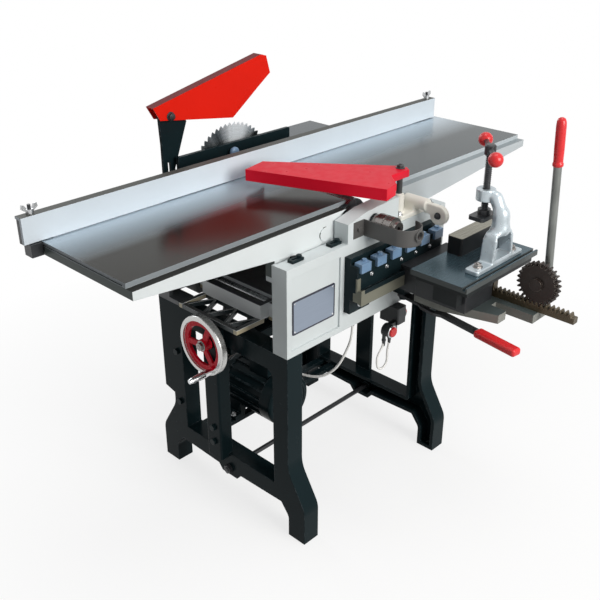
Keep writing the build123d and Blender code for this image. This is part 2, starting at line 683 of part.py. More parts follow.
RIP_LOW = TABLE_Z + 0.5


def rip_fence():
    """Rip fence plate on a slotted foot that slides across the saw table."""
    near = STRIP_Y + 2
    plate = block(-206, 214, near, near + 10, RIP_LOW, TABLE_Z + 55)
    plate = fillet(plate.edges().filter_by(Axis.Y), 4)
    foot = block(150, 210, near + 6, near + 126, TABLE_Z, TABLE_Z + 10)
    rib = [(near + 9, TABLE_Z + 9), (near + 9, TABLE_Z + 50), (near + 56, TABLE_Z + 9)]
    foot += plate_yz(rib, 174, 186)
    foot -= block(192, 202, near + 36, near + 116, TABLE_Z - 1, TABLE_Z + 11)
    return plate + foot + rod_y(near - 12, near + 1, -20, TABLE_Z + 32, 11)


POST_Y0 = BLADE_Y - 1
POST_Y1 = POST_Y0 + 8
SAW_PIVOT_X = -214
SAW_PIVOT_Z = SPINDLE_Z + BLADE_R + 60


def guard_post():
    """Black plate behind the blade that carries the saw guard, on a foot on the rear casting."""
    low = LEDGE_Z - 91
    x = SAW_PIVOT_X
    top = SAW_PIVOT_Z
    outline = [(x - 30, top + 5), (x, top + 15), (x + 30, top + 5), (x + 60, top - 25)]
    outline += [(x + 13, top - 145), (x + 13, low), (x - 26, low), (x - 26, top - 75)]
    plate = plate_xz(outline, POST_Y0, POST_Y1)
    foot = block(x - 26, x + 13, REAR_Y, POST_Y0, low, low + 60)
    plate -= block(x - 11, x - 2, POST_Y0 - 1, POST_Y1 + 1, low + 80, top - 125)
    return plate + foot + rod_y(POST_Y0 - 14, POST_Y1 + 14, SAW_PIVOT_X, SAW_PIVOT_Z, 6)


SAW_GUARD_Y0 = BLADE_Y - 12
SAW_GUARD_Y1 = BLADE_Y + 18


def saw_guard():
    """Red folded guard over the blade, open below, turning on the bolt of its post."""
    shape = [(-54, 30), (-33, -6), (216, -44), (256, -16), (318, 28), (362, 58), (348, 107), (328, 113)]
    outline = [(SAW_PIVOT_X + along, SAW_PIVOT_Z + up) for along, up in shape]
    body = plate_xz(outline, SAW_GUARD_Y0, SAW_GUARD_Y1)
    hollow = plate_xz(outline, SAW_GUARD_Y0 + SHEET, SAW_GUARD_Y1 - SHEET)
    body -= Pos(1 - SHEET, 0, -SHEET) * hollow
    return body - rod_y(SAW_GUARD_Y0 - 1, SAW_GUARD_Y1 + 1, SAW_PIVOT_X, SAW_PIVOT_Z, 6 + RUN)


# Thicknesser: bed, rollers, lift and handwheel
BED_T = 16
BED_DEPTH = 40
BED_MID = 258
BED_Y0 = LIFT_Y - 114
BED_Y1 = LIFT_Y + 111
EXT_T = 12
BED_BARS = 5
BAR_HALF = 3.5
ROLLER_X = 215
ROLLER_R = 16
ROLLER_UP = 0.5
AXLE_R = 7
SHOE_X0 = 198
SHOE_X1 = 228
SCREW_R = 11
LIFT_PITCH_R = 26
BEAM_TOP = SHAFT_Z - LIFT_PITCH_R - 2
COLLAR_X = -LIFT_PITCH_R - 26
SCREW_LOW = 340


def bed_lattice(side):
    """Open zigzag ribs of one bed extension."""
    low = BED_Z - BED_DEPTH - EXT_T
    start = BED_MID - 4
    bars = []
    width = (BED_Y1 - BED_Y0 - 24) / BED_BARS
    for k in range(BED_BARS):
        y0 = BED_Y0 + 12 + width * k
        y1 = y0 + width
        if k % 2:
            y0, y1 = y1, y0
        run = [(side * start, y0 - BAR_HALF), (side * start, y0 + BAR_HALF)]
        run += [(side * BED_END, y1 + BAR_HALF), (side * BED_END, y1 - BAR_HALF)]
        bars.append(plate_xy(run, low, low + EXT_T))
    return bars


def thickness_bed():
    """Deep hollow bed with roller slots, guide shoes and a lower open extension at each end."""
    under = BED_Z - BED_DEPTH
    body = block(-BED_MID, BED_MID, BED_Y0, BED_Y1, under, BED_Z)
    body -= block(12 - BED_MID, BED_MID - 12, BED_Y0 + 12, BED_Y1 - 12, under - 1, BED_Z - BED_T)
    body += block(-BED_MID + 6, BED_MID - 6, LIFT_Y - 6, LIFT_Y + 6, under, BED_Z - 1)
    body += rod_z(under - 36, BED_Z - 1, 0, LIFT_Y, SCREW_R + 12)
    roller_z = BED_Z + ROLLER_UP - ROLLER_R
    for side in (-1, 1):
        for y in (BED_Y0, BED_Y1 - 12):
            x0 = side * (BED_MID - 12)
            x1 = side * BED_END
            body += block(min(x0, x1), max(x0, x1), y, y + 12, under - EXT_T, under + 1)
        for bar in bed_lattice(side):
            body += bar
        end_in = side * (BED_END - 12)
        end_out = side * BED_END
        body += block(min(end_in, end_out), max(end_in, end_out), BED_Y0, BED_Y1, under - EXT_T, under)
        root = side * (BED_MID - 6)
        body += block(root - 6, root + 6, BED_Y0, BED_Y1, under - EXT_T, under + 1)
        low = min(side * SHOE_X0, side * SHOE_X1)
        high = max(side * SHOE_X0, side * SHOE_X1)
        body += block(low, high, FRONT_WAY + FREE, BED_Y0 + 1, under - 10, BED_Z - 2)
        body += block(low, high, BED_Y1 - 1, REAR_WAY - FREE, under - 10, BED_Z - 2)
        trough = ROLLER_R + 2
        x = side * ROLLER_X
        body -= block(x - trough, x + trough, BED_Y0 + 12, BED_Y1 - 12, under - 1, BED_Z + 1)
        body -= rod_y(BED_Y0 - 1, BED_Y1 + 1, x, roller_z, AXLE_R + RUN)
    return body - rod_z(under - 50, BED_Z - BED_T, 0, LIFT_Y, SCREW_R)


def bed_roller(side):
    """A steel roller with stub axles, set just proud of the bed."""
    z = BED_Z + ROLLER_UP - ROLLER_R
    body = rod_y(BED_Y0 + 12.5, BED_Y1 - 12.5, side * ROLLER_X, z, ROLLER_R)
    return body + rod_y(BED_Y0 + 1, BED_Y1 - 1, side * ROLLER_X, z, AXLE_R)


def near_bed_roller():
    """Roller at the near end of the bed."""
    return bed_roller(-1)


def far_bed_roller():
    """Roller at the far end of the bed."""
    return bed_roller(1)


def elevating_screw():
    """Lifting screw fixed under the bed; it rises without turning."""
    return rod_z(SCREW_LOW, BED_Z - BED_T, 0, LIFT_Y, SCREW_R)


def elevating_bridge():
    """Channel beam between the end frames with the bearings of the lift nut and the handwheel shaft."""
    reach = STAND_X - WEB
    body = block(-reach, reach, LIFT_Y - 40, LIFT_Y + 40, BEAM_TOP - 12, BEAM_TOP)
    for y in (LIFT_Y - 40, LIFT_Y + 32):
        body += block(-reach, reach, y, y + 8, BEAM_TOP - 12, WINDOW_TOP - 3)
    lug = block(COLLAR_X - 23, COLLAR_X, LIFT_Y - 18, LIFT_Y + 18, BEAM_TOP - 1, SHAFT_Z + 18)
    body += lug
    body -= rod_x(COLLAR_X - 28, COLLAR_X + 12, LIFT_Y, SHAFT_Z, WHEEL_SHAFT_R + RUN)
    return body - rod_z(BEAM_TOP - 20, BEAM_TOP + 1, 0, LIFT_Y, 20 + RUN)


def bevel(teeth, phase):
    """A toothed bevel cone on the Z axis, pitch radius at z = 0, narrowing upward."""
    cone = Pos(0, 0, 6) * Cone(LIFT_PITCH_R + 1, LIFT_PITCH_R - 11, 12)
    for k in range(teeth):
        angle = 360 * (k + phase) / teeth
        gap = Rot(0, 0, angle) * Pos(LIFT_PITCH_R, 0, 0) * Rot(0, -45, 0) * Box(6, 6, 60)
        cone -= gap
    return cone


def lift_nut():
    """Rotating nut with a bevel gear, bored for the lifting screw."""
    low = SHAFT_Z - LIFT_PITCH_R
    body = Pos(0, LIFT_Y, low) * bevel(16, 0.5)
    body += rod_z(BEAM_TOP, low + 0.01, 0, LIFT_Y, LIFT_PITCH_R - 2)
    body += rod_z(BEAM_TOP - 26, BEAM_TOP + 1, 0, LIFT_Y, 20)
    return body - rod_z(BEAM_TOP - 40, SHAFT_Z, 0, LIFT_Y, SCREW_R + RUN)


WHEEL_R = 83
WHEEL_W = 22
WHEEL_X1 = -STAND_X - COLUMN_PROUD - 7
WHEEL_X0 = WHEEL_X1 - WHEEL_W
RIM_T = 13
HUB_R = 17
CRANK_Y = -40
CRANK_Z = -57
CRANK_LEN = 72


def handwheel_shaft():
    """Shaft from the handwheel to the bevel pinion, with a collar at its bearing."""
    body = rod_x(WHEEL_X0, -LIFT_PITCH_R + 1, LIFT_Y, SHAFT_Z, WHEEL_SHAFT_R)
    hub_x = COLLAR_X + 12
    body += rod_x(COLLAR_X, hub_x, LIFT_Y, SHAFT_Z, WHEEL_SHAFT_R + 6)
    pinion = Pos(-LIFT_PITCH_R - FREE, LIFT_Y, SHAFT_Z) * Rot(0, 90, 0) * bevel(16, 0)
    return body + pinion + rod_x(hub_x, -LIFT_PITCH_R + 0.01, LIFT_Y, SHAFT_Z, LIFT_PITCH_R - 6)


def handwheel():
    """Handwheel with a broad flat rim, a recessed web ring, three spokes, a hub and the crank pin."""
    rim = rod_x(WHEEL_X0, WHEEL_X1, LIFT_Y, SHAFT_Z, WHEEL_R)
    rim = fillet(rim.edges(), 5) - rod_x(WHEEL_X0 - 1, WHEEL_X1 + 1, LIFT_Y, SHAFT_Z, WHEEL_R - RIM_T)
    web_x0 = WHEEL_X0 + 6
    web_x1 = WHEEL_X0 + 14
    ring = rod_x(web_x0, web_x1, LIFT_Y, SHAFT_Z, WHEEL_R - RIM_T + 1)
    body = rim + ring - rod_x(web_x0 - 1, web_x1 + 1, LIFT_Y, SHAFT_Z, WHEEL_R - 2 * RIM_T - 2)
    for k in range(3):
        spoke = block(1, 7, -8, 8, HUB_R - 5, WHEEL_R - 2 * RIM_T)
        body += Pos(web_x0, LIFT_Y, SHAFT_Z) * Rot(145 + 120 * k, 0, 0) * spoke
    body += rod_x(web_x0 - 2, WHEEL_X1 + 4, LIFT_Y, SHAFT_Z, HUB_R)
    crank_y = LIFT_Y + CRANK_Y
    crank_z = SHAFT_Z + CRANK_Z
    body += rod_x(WHEEL_X0 - 1, WHEEL_X1, crank_y, crank_z, 11)
    body += rod_x(WHEEL_X0 - CRANK_LEN + 8, WHEEL_X0, crank_y, crank_z, 5)
    return body - rod_x(WHEEL_X0 - 2, WHEEL_X1 + 5, LIFT_Y, SHAFT_Z, WHEEL_SHAFT_R)


def crank_handle():
    """Chrome handle that turns freely on the crank pin."""
    outline = [(0, 0), (0, 7), (0.1, 8), (0.34, 10), (0.68, 9), (0.88, 8), (1, 6), (1, 0)]
    profile = make_face(Polyline(*[(-CRANK_LEN * along, r, 0) for along, r in outline], close=True))
    body = revolve(profile, Axis.X)
    root = WHEEL_X0 - 1 - FREE
    body = Pos(root, LIFT_Y + CRANK_Y, SHAFT_Z + CRANK_Z) * body
    bore_end = WHEEL_X0 - CRANK_LEN + 7
    return body - rod_x(bore_end, WHEEL_X0, LIFT_Y + CRANK_Y, SHAFT_Z + CRANK_Z, 5 + RUN)


# Slot mortiser: knee, slides, table, levers and hold-down
KNEE_RIGHT = 240
KNEE_Y = FRONT_Y - 20
BAR_Y = KNEE_Y - 23
WAY_Z = MORTISE_Z - 30
BAR_Z1 = MORTISE_Z + 15
TAIL_Z0 = WAY_Z - 56
TAIL_Z1 = WAY_Z - 14
CARRIAGE_X0 = 65
CARRIAGE_X1 = 265
CARRIAGE_Y = BAR_Y - 55
WAY_X0 = 60
WAY_X1 = 180
WAY_Y = CARRIAGE_Y - 150
FEED = 65
ARM_Z1 = WAY_Z - 70
ARM_Z0 = ARM_Z1 - 23
LEVER_PIVOT = (110, KNEE_Y - 4)
LEVER_Z1 = ARM_Z0 - 13
LEVER_Z0 = LEVER_Z1 - 8
LINK_PIN = (94.6, LEVER_PIVOT[1] - 96)
PIN_R = 5
PIVOT_R = 6


def dovetail(x0, x1):
    """Dovetail way that runs along X on the front of the knee."""
    tail = [(BAR_Y, TAIL_Z0 + 6), (BAR_Y - 14, TAIL_Z0), (BAR_Y - 14, TAIL_Z1), (BAR_Y, TAIL_Z1 - 6)]
    return plate_yz(tail, x0, x1)


def mortise_knee():
    """Black bracket on the front panel with the cross way, a slotted foot and the lever's pivot pin."""
    low = TAIL_Z0 + 6
    plate = block(KNEE_LEFT, KNEE_RIGHT, KNEE_Y, FRONT_Y, low, BAR_Z1 + 17)
    foot = block(KNEE_LEFT, -30, KNEE_Y, FRONT_Y, low - 40, low + 1)
    foot -= block(-72, -60, KNEE_Y - 1, FRONT_Y + 1, low - 32, low - 8)
    bar = block(KNEE_LEFT, KNEE_RIGHT, BAR_Y, KNEE_Y + 1, low, BAR_Z1)
    lug_x, lug_y = LEVER_PIVOT
    lug = block(lug_x - 16, lug_x + 16, lug_y - 14, FRONT_Y, LEVER_Z1 + 2, low + 5)
    pin = rod_z(LEVER_Z0 - 2, LEVER_Z1 + 3, *LEVER_PIVOT, PIVOT_R)
    head = rod_z(LEVER_Z0 - 8, LEVER_Z0 - 2, *LEVER_PIVOT, PIVOT_R + 5)
    return plate + foot + bar + lug + pin + head + dovetail(KNEE_LEFT, KNEE_RIGHT)


def gib_screws():
    """Clamp clips along the top of the cross way, each with a lip in front and a screw."""
    group = []
    for k in range(6):
        x = KNEE_LEFT + 24 + 60 * k
        clip = block(x - 18, x + 18, BAR_Y - 8, BAR_Y + 16, BAR_Z1, BAR_Z1 + 8)
        clip += block(x - 18, x + 18, BAR_Y - 8, BAR_Y, BAR_Z1 - 16, BAR_Z1 + 1)
        clip += hex_head(Plane((x + 6, BAR_Y + 5, BAR_Z1 + 8)), 12, 6)
        group.append(clip)
    return Compound(group)


def mortise_slide():
    """Carriage on the cross way with the block that guides the mortise table."""
    carriage = block(CARRIAGE_X0, CARRIAGE_X1, CARRIAGE_Y, BAR_Y, ARM_Z1, WAY_Z - 1)
    guide = block(WAY_X0, WAY_X1, WAY_Y, CARRIAGE_Y + 1, ARM_Z1, WAY_Z)
    return carriage + guide - dovetail(KNEE_LEFT - 200, KNEE_RIGHT + 200)


def base_arm():
    """Grey arm under the slide with two prongs; the longer one carries the pinion bracket."""
    right = PINION_X + 31
    back = CARRIAGE_Y + 10
    front = PINION_Y - 14
    outline = [(70, back), (70, back - 80), (112, back - 225), (146, back - 225), (150, back - 180)]
    outline += [(172, back - 180), (172, front), (right, front), (right, back)]
    body = plate_xy(outline, ARM_Z0, ARM_Z1)
    cheek = block(PINION_X + 14, right, PINION_Y - 20, PINION_Y + 20, ARM_Z1 - 1, PINION_Z)
    cheek += rod_x(PINION_X + 14, right, PINION_Y, PINION_Z, 20)
    return body + cheek - rod_x(PINION_X, right + 1, PINION_Y, PINION_Z, 10 + RUN)


def cross_link():
    """Bar under the arm whose pin drives the carriage from the slotted lever."""
    start = Vector(*LINK_PIN)
    end = Vector(215, CARRIAGE_Y + 5)
    along = (end - start).normalized()
    across = Vector(-along.Y, along.X) * 11
    corners = [start - along * 10 + across, end + across, end - across, start - along * 10 - across]
    bar = plate_xy([(c.X, c.Y) for c in corners], LEVER_Z1 + 2, ARM_Z0)
    return bar + rod_z(LEVER_Z0 - 2, LEVER_Z1 + 3, *LINK_PIN, PIN_R)


def cross_lever():
    """Flat lever with a slot for the link pin; it turns on the pin of the knee."""
    lean = math.degrees(math.atan2(LINK_PIN[0] - LEVER_PIVOT[0], LEVER_PIVOT[1] - LINK_PIN[1]))
    bar = [(-13, 10), (13, 10), (13, -70), (20, -84), (20, -132), (11, -150), (11, -262), (-11, -262)]
    bar += [(-11, -150), (-20, -132), (-20, -84), (-13, -70)]
    body = plate_xy(bar, LEVER_Z0, LEVER_Z1) + rod_z(LEVER_Z0, LEVER_Z1, 0, 0, 15)
    body -= block(-PIN_R - 3.5, PIN_R + 3.5, -126, -87, LEVER_Z0 - 1, LEVER_Z1 + 1)
    body -= rod_z(LEVER_Z0 - 1, LEVER_Z1 + 1, 0, 0, PIVOT_R + RUN)
    body += rod_y(-290, -255, 0, (LEVER_Z0 + LEVER_Z1) / 2, 7)
    return Pos(*LEVER_PIVOT, 0) * Rot(0, 0, lean) * body


def cross_grip():
    """Red grip on the end of the cross lever."""
    lean = math.degrees(math.atan2(LINK_PIN[0] - LEVER_PIVOT[0], LEVER_PIVOT[1] - LINK_PIN[1]))
    z = (LEVER_Z0 + LEVER_Z1) / 2
    body = fillet(block(-15, 15, -390, -262, z - 10, z + 10).edges(), 7)
    body -= rod_y(-290, -260, 0, z, 7) + block(-12, 12, -264, -255, z - 5, z + 5)
    return Pos(*LEVER_PIVOT, 0) * Rot(0, 0, lean) * body


def mortise_table():
    """Two-layer table with a T-slot, its work fence and the shoes that run on the guide block."""
    back = CARRIAGE_Y - 20
    front = back - 165
    top = block(4, 327, front, back, MORTISE_Z - 14, MORTISE_Z)
    top -= block(3, 328, front + 5, front + 13, MORTISE_Z - 8, MORTISE_Z + 1)
    lower = block(18, 313, front + 7, back - 8, WAY_Z, MORTISE_Z - 13)
    shoe_back = CARRIAGE_Y - FEED - 5
    shoes = block(35, WAY_X0 - FREE, WAY_Y + 10, shoe_back, WAY_Z - 48, WAY_Z + 1)
    shoes += block(WAY_X1 + FREE, 192, WAY_Y + 10, shoe_back, WAY_Z - 48, WAY_Z + 1)
    stop = block(150, 327, back - 48, back - 3, MORTISE_Z - 1, MORTISE_Z + 48)
    return top + lower + shoes + fillet(stop.edges().filter_by(Axis.Z), 6)


RACK_X0 = 195
RACK_X1 = 215


def feed_rack():
    """Rack under the table, with a hanger, in mesh below the pinion."""
    pitch = math.pi * MODULE
    line = PINION_Z - MODULE * PINION_TEETH / 2
    root = line - 1.2 * MODULE
    tip = line + MODULE
    back = PINION_Y + 137
    body = block(RACK_X0, RACK_X1, PINION_Y - 108, back, ARM_Z1, root)
    wide = pitch / 4 - 0.15 + 1.2 * MODULE * math.tan(math.radians(20))
    slim = pitch / 4 - 0.15 - MODULE * math.tan(math.radians(20))
    for k in range(-8, 10):
        y = PINION_Y + (k + 0.5) * pitch
        tooth = [(y - wide, root - 0.5), (y + wide, root - 0.5), (y + wide, root)]
        tooth += [(y + slim, tip), (y - slim, tip), (y - wide, root)]
        body += plate_yz(tooth, RACK_X0, RACK_X1)
    return body + block(RACK_X0, RACK_X1, back - 20, back, root - 1, WAY_Z)


def feed_pinion():
    """Spur pinion with involute teeth on its shaft."""
    pitch_r = MODULE * PINION_TEETH / 2
    base_r = pitch_r * math.cos(math.radians(20))
    start = math.tan(math.radians(20)) - math.radians(20)
    half = (math.pi * MODULE / 2 - 0.3) / (2 * pitch_r)
    radii = [base_r, pitch_r - 0.5, pitch_r + MODULE * 0.5, pitch_r + MODULE]
    flank = []
    for r in radii:
        press = math.acos(min(1, base_r / r))
        flank.append((r, half + start - (math.tan(press) - press)))
    outline = []
    root_r = pitch_r - 1.25 * MODULE
    for k in range(PINION_TEETH):
        middle = 2 * math.pi * k / PINION_TEETH - math.pi / 2
        points = [(root_r, flank[0][1])] + flank
        for r, a in [(r, -a) for r, a in points] + [(r, a) for r, a in reversed(points)]:
            outline.append((PINION_Y + r * math.cos(middle + a), PINION_Z + r * math.sin(middle + a)))
    body = plate_yz(outline, PINION_X - 10, PINION_X + 10)
    body += rod_x(PINION_X - 18, PINION_X - 9, PINION_Y, PINION_Z, 16)
    body += rod_x(PINION_X + 9, PINION_X + 14, PINION_Y, PINION_Z, 16)
    return body + rod_x(PINION_X, PINION_X + 55, PINION_Y, PINION_Z, 10)


LEVER_X = PINION_X + 43
LEVER_LEAN = 22
LEVER_TOP = 1091
LEVER_R = 10
GRIP_LEN = 115
GRIP_LOW = LEVER_TOP - GRIP_LEN


def lever_point(z):
    """Point of the feed lever's centre line at a height."""
    return (LEVER_X, PINION_Y + LEVER_LEAN * (z - PINION_Z) / (LEVER_TOP - PINION_Z), z)


def feed_lever():
    """Feed lever with its hub on the pinion shaft."""
    hub = rod_x(LEVER_X - 11, LEVER_X + 11, PINION_Y, PINION_Z, 20)
    body = hub + rod_between(lever_point(PINION_Z + 12), lever_point(GRIP_LOW + 60), LEVER_R)
    return body - rod_x(LEVER_X - 20, LEVER_X + 20, PINION_Y, PINION_Z, 10)


def feed_grip():
    """Red grip on the feed lever."""
    body = rod_between(lever_point(GRIP_LOW), lever_point(LEVER_TOP), LEVER_R + 3.5)
    socket = rod_between(lever_point(GRIP_LOW - 5), lever_point(GRIP_LOW + 60), LEVER_R)
    return fillet(body.edges().sort_by(Axis.Z)[-1], 5) - socket


HOLD_X0 = SCREW_X - 110
HOLD_X1 = SCREW_X + 96
HOLD_Y1 = SCREW_Y - 27
HOLD_Y0 = HOLD_Y1 - 40
FLANGE_T = 12
COLUMN_TOP = MORTISE_Z + 88
BOSS_Z0 = MORTISE_Z + 152
BOSS_Z1 = BOSS_Z0 + 30
BOSS_R = 24
HOLD_SCREW_R = 9
PAD_Z1 = BOSS_Z0 - 37
BAR_Z = BOSS_Z1 + 98


def hold_down():
    """Silver casting: a flange, a hollow column with a window, and a round gooseneck to the screw boss."""
    flange = block(HOLD_X0, HOLD_X1, HOLD_Y0, HOLD_Y1, MORTISE_Z, MORTISE_Z + FLANGE_T)
    body = fillet(flange.edges().filter_by(Axis.Z), 7)
    foot = MORTISE_Z + FLANGE_T - 1
    column = [(SCREW_X - 46, foot), (SCREW_X + 46, foot)]
    column += [(SCREW_X + 38, COLUMN_TOP), (SCREW_X - 38, COLUMN_TOP)]
    column = plate_xz(column, HOLD_Y0 + 1, HOLD_Y1 - 1)
    body += fillet(column.edges().filter_by(Axis.Y).group_by(Axis.Z)[-1], 14)
    sill = MORTISE_Z + 18
    head = COLUMN_TOP - 13
    window = [(SCREW_X - 37, sill), (SCREW_X + 37, sill), (SCREW_X + 30, head), (SCREW_X - 30, head)]
    middle = (HOLD_Y0 + HOLD_Y1) / 2
    bend_z = (COLUMN_TOP + BOSS_Z0) / 2
    top_z = (BOSS_Z0 + BOSS_Z1) / 2
    bends = [((SCREW_X, middle - 4, COLUMN_TOP + 2), 25), ((SCREW_X, middle - 2, bend_z + 8), 22)]
    bends += [((SCREW_X, HOLD_Y1 - 4, top_z - 2), 17), ((SCREW_X, SCREW_Y - 3, top_z), 15)]
    for (low, low_r), (high, high_r) in zip(bends, bends[1:]):
        body += rod_between(low, high, high_r) + Pos(*high) * Sphere(high_r)
    body += Pos(*bends[0][0]) * Sphere(bends[0][1])
    body -= plate_xz(window, HOLD_Y0 - 1, HOLD_Y1 + 1)
    body += rod_z(BOSS_Z0, BOSS_Z1, SCREW_X, SCREW_Y, BOSS_R)
    return body - rod_z(BOSS_Z0 - 9, BOSS_Z1 + 9, SCREW_X, SCREW_Y, HOLD_SCREW_R + RUN)


def bar_end(side):
    """End of the tommy bar on one side of the screw."""
    return (SCREW_X + side * 64, SCREW_Y + side * 55, BAR_Z)


def hold_down_screw():
    """Clamp screw with its head and tommy bar."""
    body = rod_z(PAD_Z1 - 6, BAR_Z - 12, SCREW_X, SCREW_Y, HOLD_SCREW_R)
    body += rod_z(BAR_Z - 14, BAR_Z + 12, SCREW_X, SCREW_Y, 14)
    return body + rod_between(bar_end(-1), bar_end(1), 6)


def clamp_knobs():
    """Two ball knobs on the ends of the tommy bar."""
    group = []
    for side in (-1, 1):
        ball = Pos(*bar_end(side)) * Sphere(18)
        group.append(ball - rod_between(bar_end(-1), bar_end(1), 6))
    return Compound(group)


def pressure_pad():
    """Pad that presses the work, with a socket for the end of the screw."""
    body = block(SCREW_X - 35, SCREW_X + 35, SCREW_Y - 20, SCREW_Y + 24, PAD_Z1 - 10, PAD_Z1)
    body = fillet(body.edges().filter_by(Axis.Z), 8) + rod_z(PAD_Z1 - 1, PAD_Z1 + 14, SCREW_X, SCREW_Y, 16)
    return body - rod_z(PAD_Z1 - 6, PAD_Z1 + 15, SCREW_X, SCREW_Y, HOLD_SCREW_R + RUN)


def chuck_guard():
    """Sheet band round the drill chuck, bolted to the bearing hump, with a ringed opening for the bit."""
    reach = CHUCK_FRONT - 20
    half = CHUCK_R + 14
    path = Polyline((-half - 38, FRONT_Y - 1), (-half, FRONT_Y - 1), (-half, reach))
    turn = ThreePointArc((-half, reach), (0, reach - half), (half, reach))
    band = trace(path + turn, line_width=2)
    body = extrude(Pos(0, 0, SPINDLE_Z - 26) * band, 43)
    front = reach - half
    body += rod_y(front - 5, front + 3, 0, SPINDLE_Z, 15)
    body -= rod_y(front - 6, front + 8, 0, SPINDLE_Z, 10)
    bolt = hex_head(Plane((-half - 20, FRONT_Y - 2, SPINDLE_Z - 3), z_dir=(0, -1, 0)), 13, 6)
    return body + bolt


# Switch, buttons and cables
SWITCH_X0 = 84
SWITCH_X1 = 120
SWITCH_Y = FRONT_Y - 30
SWITCH_Z0 = STAND_TOP - 49
BUTTON_R = 14
STOP = (60, SWITCH_Z0 - 9)
START_Z = SWITCH_Z0 + 24
START_Y = SWITCH_Y + 16
CABLE_R = 3
GLAND_OUT = 12
GLAND_Z = STOP[1] - 25


def switch_box():
    """Small switch box under the front casting with a round stop housing on an arm, and cable glands."""
    body = block(SWITCH_X0, SWITCH_X1, SWITCH_Y, FRONT_Y + 32, SWITCH_Z0, STAND_TOP)
    body = fillet(body.edges().filter_by(Axis.Z).group_by(Axis.Y)[0], 5)
    stop_x, stop_z = STOP
    body += block(stop_x, SWITCH_X0 + 6, SWITCH_Y + 6, SWITCH_Y + 20, stop_z - 6, SWITCH_Z0 + 10)
    body += rod_y(SWITCH_Y, SWITCH_Y + 24, stop_x, stop_z, BUTTON_R + 4)
    body -= rod_y(SWITCH_Y - 1, SWITCH_Y + 12, stop_x, stop_z, BUTTON_R + FREE)
    body -= rod_x(SWITCH_X1 - 12, SWITCH_X1 + 1, START_Y, START_Z, BUTTON_R - 2 + FREE)
    for side in (-1, 1):
        gland = rod_z(GLAND_Z, stop_z - 8, stop_x + side * GLAND_OUT, SWITCH_Y + 17, 5)
        body += gland
    return body


def start_button():
    """Start button on the far side of the switch box."""
    body = rod_x(SWITCH_X1 - 6, SWITCH_X1 + 10, START_Y, START_Z, BUTTON_R - 2)
    return fillet(body.edges().sort_by(Axis.X)[-1], 3)


def stop_button():
    """Mushroom stop button standing out of its round housing."""
    stop_x, stop_z = STOP
    body = rod_y(SWITCH_Y - 8, SWITCH_Y + 6, stop_x, stop_z, BUTTON_R)
    return fillet(body.edges().sort_by(Axis.Y)[0], 3)


def turn_radii(points):
    """Bend radius for each inner corner of a cord path."""
    radii = []
    for before, here, after in zip(points, points[1:], points[2:]):
        first = Vector(*here) - Vector(*before)
        second = Vector(*after) - Vector(*here)
        half = math.radians(first.get_angle(second)) / 2
        radii.append(0.45 * min(first.length, second.length) / math.tan(half))
    return radii


def cord(points, r, name):
    """A round cord along straight runs joined by arcs."""
    radii = turn_radii(points)
    print(name, "bend radii", [round(value, 1) for value in radii])
    path = FilletPolyline(*points, radius=radii)
    start = Vector(*points[1]) - Vector(*points[0])
    return sweep(Plane(points[0], z_dir=start) * Circle(r), path=path)


def switch_cable_points():
    """Hanging loop between the two glands of the stop housing."""
    stop_x = STOP[0]
    middle = stop_x - 17
    radius = 22
    low = GLAND_Z - 66
    y = SWITCH_Y + 17
    left = stop_x - GLAND_OUT
    right = stop_x + GLAND_OUT
    points = [(left, y, GLAND_Z), (left, y, GLAND_Z - 18), (middle - radius, y, low + radius)]
    for k in range(4):
        a = math.radians(202.5 + 45 * k)
        reach = radius / math.cos(math.radians(22.5))
        points.append((middle + reach * math.cos(a), y - 2, low + reach * math.sin(a)))
    return points + [(middle + radius, y, low + radius), (right, y, GLAND_Z - 18), (right, y, GLAND_Z)]


def switch_cable():
    """White cable that hangs in a loop under the switch box."""
    return cord(switch_cable_points(), CABLE_R, "switch_cable")


def motor_cable():
    """White cable from the front casting down to the terminal box of the motor."""
    gland_x = MOTOR_X + 12
    gland_z = MOTOR_Z + MOTOR_R + 15
    exit_y = FRONT_Y + 26
    points = [(-38, exit_y, STAND_TOP), (-38, exit_y, STAND_TOP - 53), (-35, exit_y + 21, STAND_TOP - 108)]
    points += [(-46, exit_y + 41, gland_z + 54), (-64, GLAND_Y - 142, gland_z + 17)]
    points += [(-78, GLAND_Y - 102, gland_z + 5), (gland_x, GLAND_Y - 45, gland_z)]
    points += [(gland_x, GLAND_Y, gland_z)]
    return cord(points, CABLE_R + 0.5, "motor_cable")


NODES = [near_end_frame, far_end_frame, tie_rod, fasteners, front_side_casting, rear_side_casting,
         spindle_bearings, elevating_bridge, lift_nut, guard_post, guard_bracket, mortise_knee, gib_screws,
         switch_box, motor_body, motor_rails, v_belts, chuck_guard, motor_cable, switch_cable, outfeed_table,
         infeed_table, fence, fence_brackets, wing_nuts, planer_guard, cutter_block, planer_knives,
         spindle_pulley, drill_chuck, saw_clamp, saw_blade, motor_shaft, motor_pulley, saw_table, rip_fence,
         saw_guard, thickness_bed, near_bed_roller, far_bed_roller, elevating_screw, handwheel_shaft,
         handwheel, crank_handle, mortise_slide, base_arm, mortise_table, feed_rack, feed_pinion,
         feed_lever, feed_grip, cross_lever, cross_grip, cross_link, hold_down, hold_down_screw, clamp_knobs,
         pressure_pad, start_button, stop_button]

os.makedirs("parts", exist_ok=True)
for node in NODES:
    export_step(node(), f"parts/{node.__name__}.step")
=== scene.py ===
"""Dresses a planer, saw and slot mortiser: finishes, screw threads, fasteners, trim and cables."""
import math

import bmesh
import bpy
from mathutils import Matrix, Vector


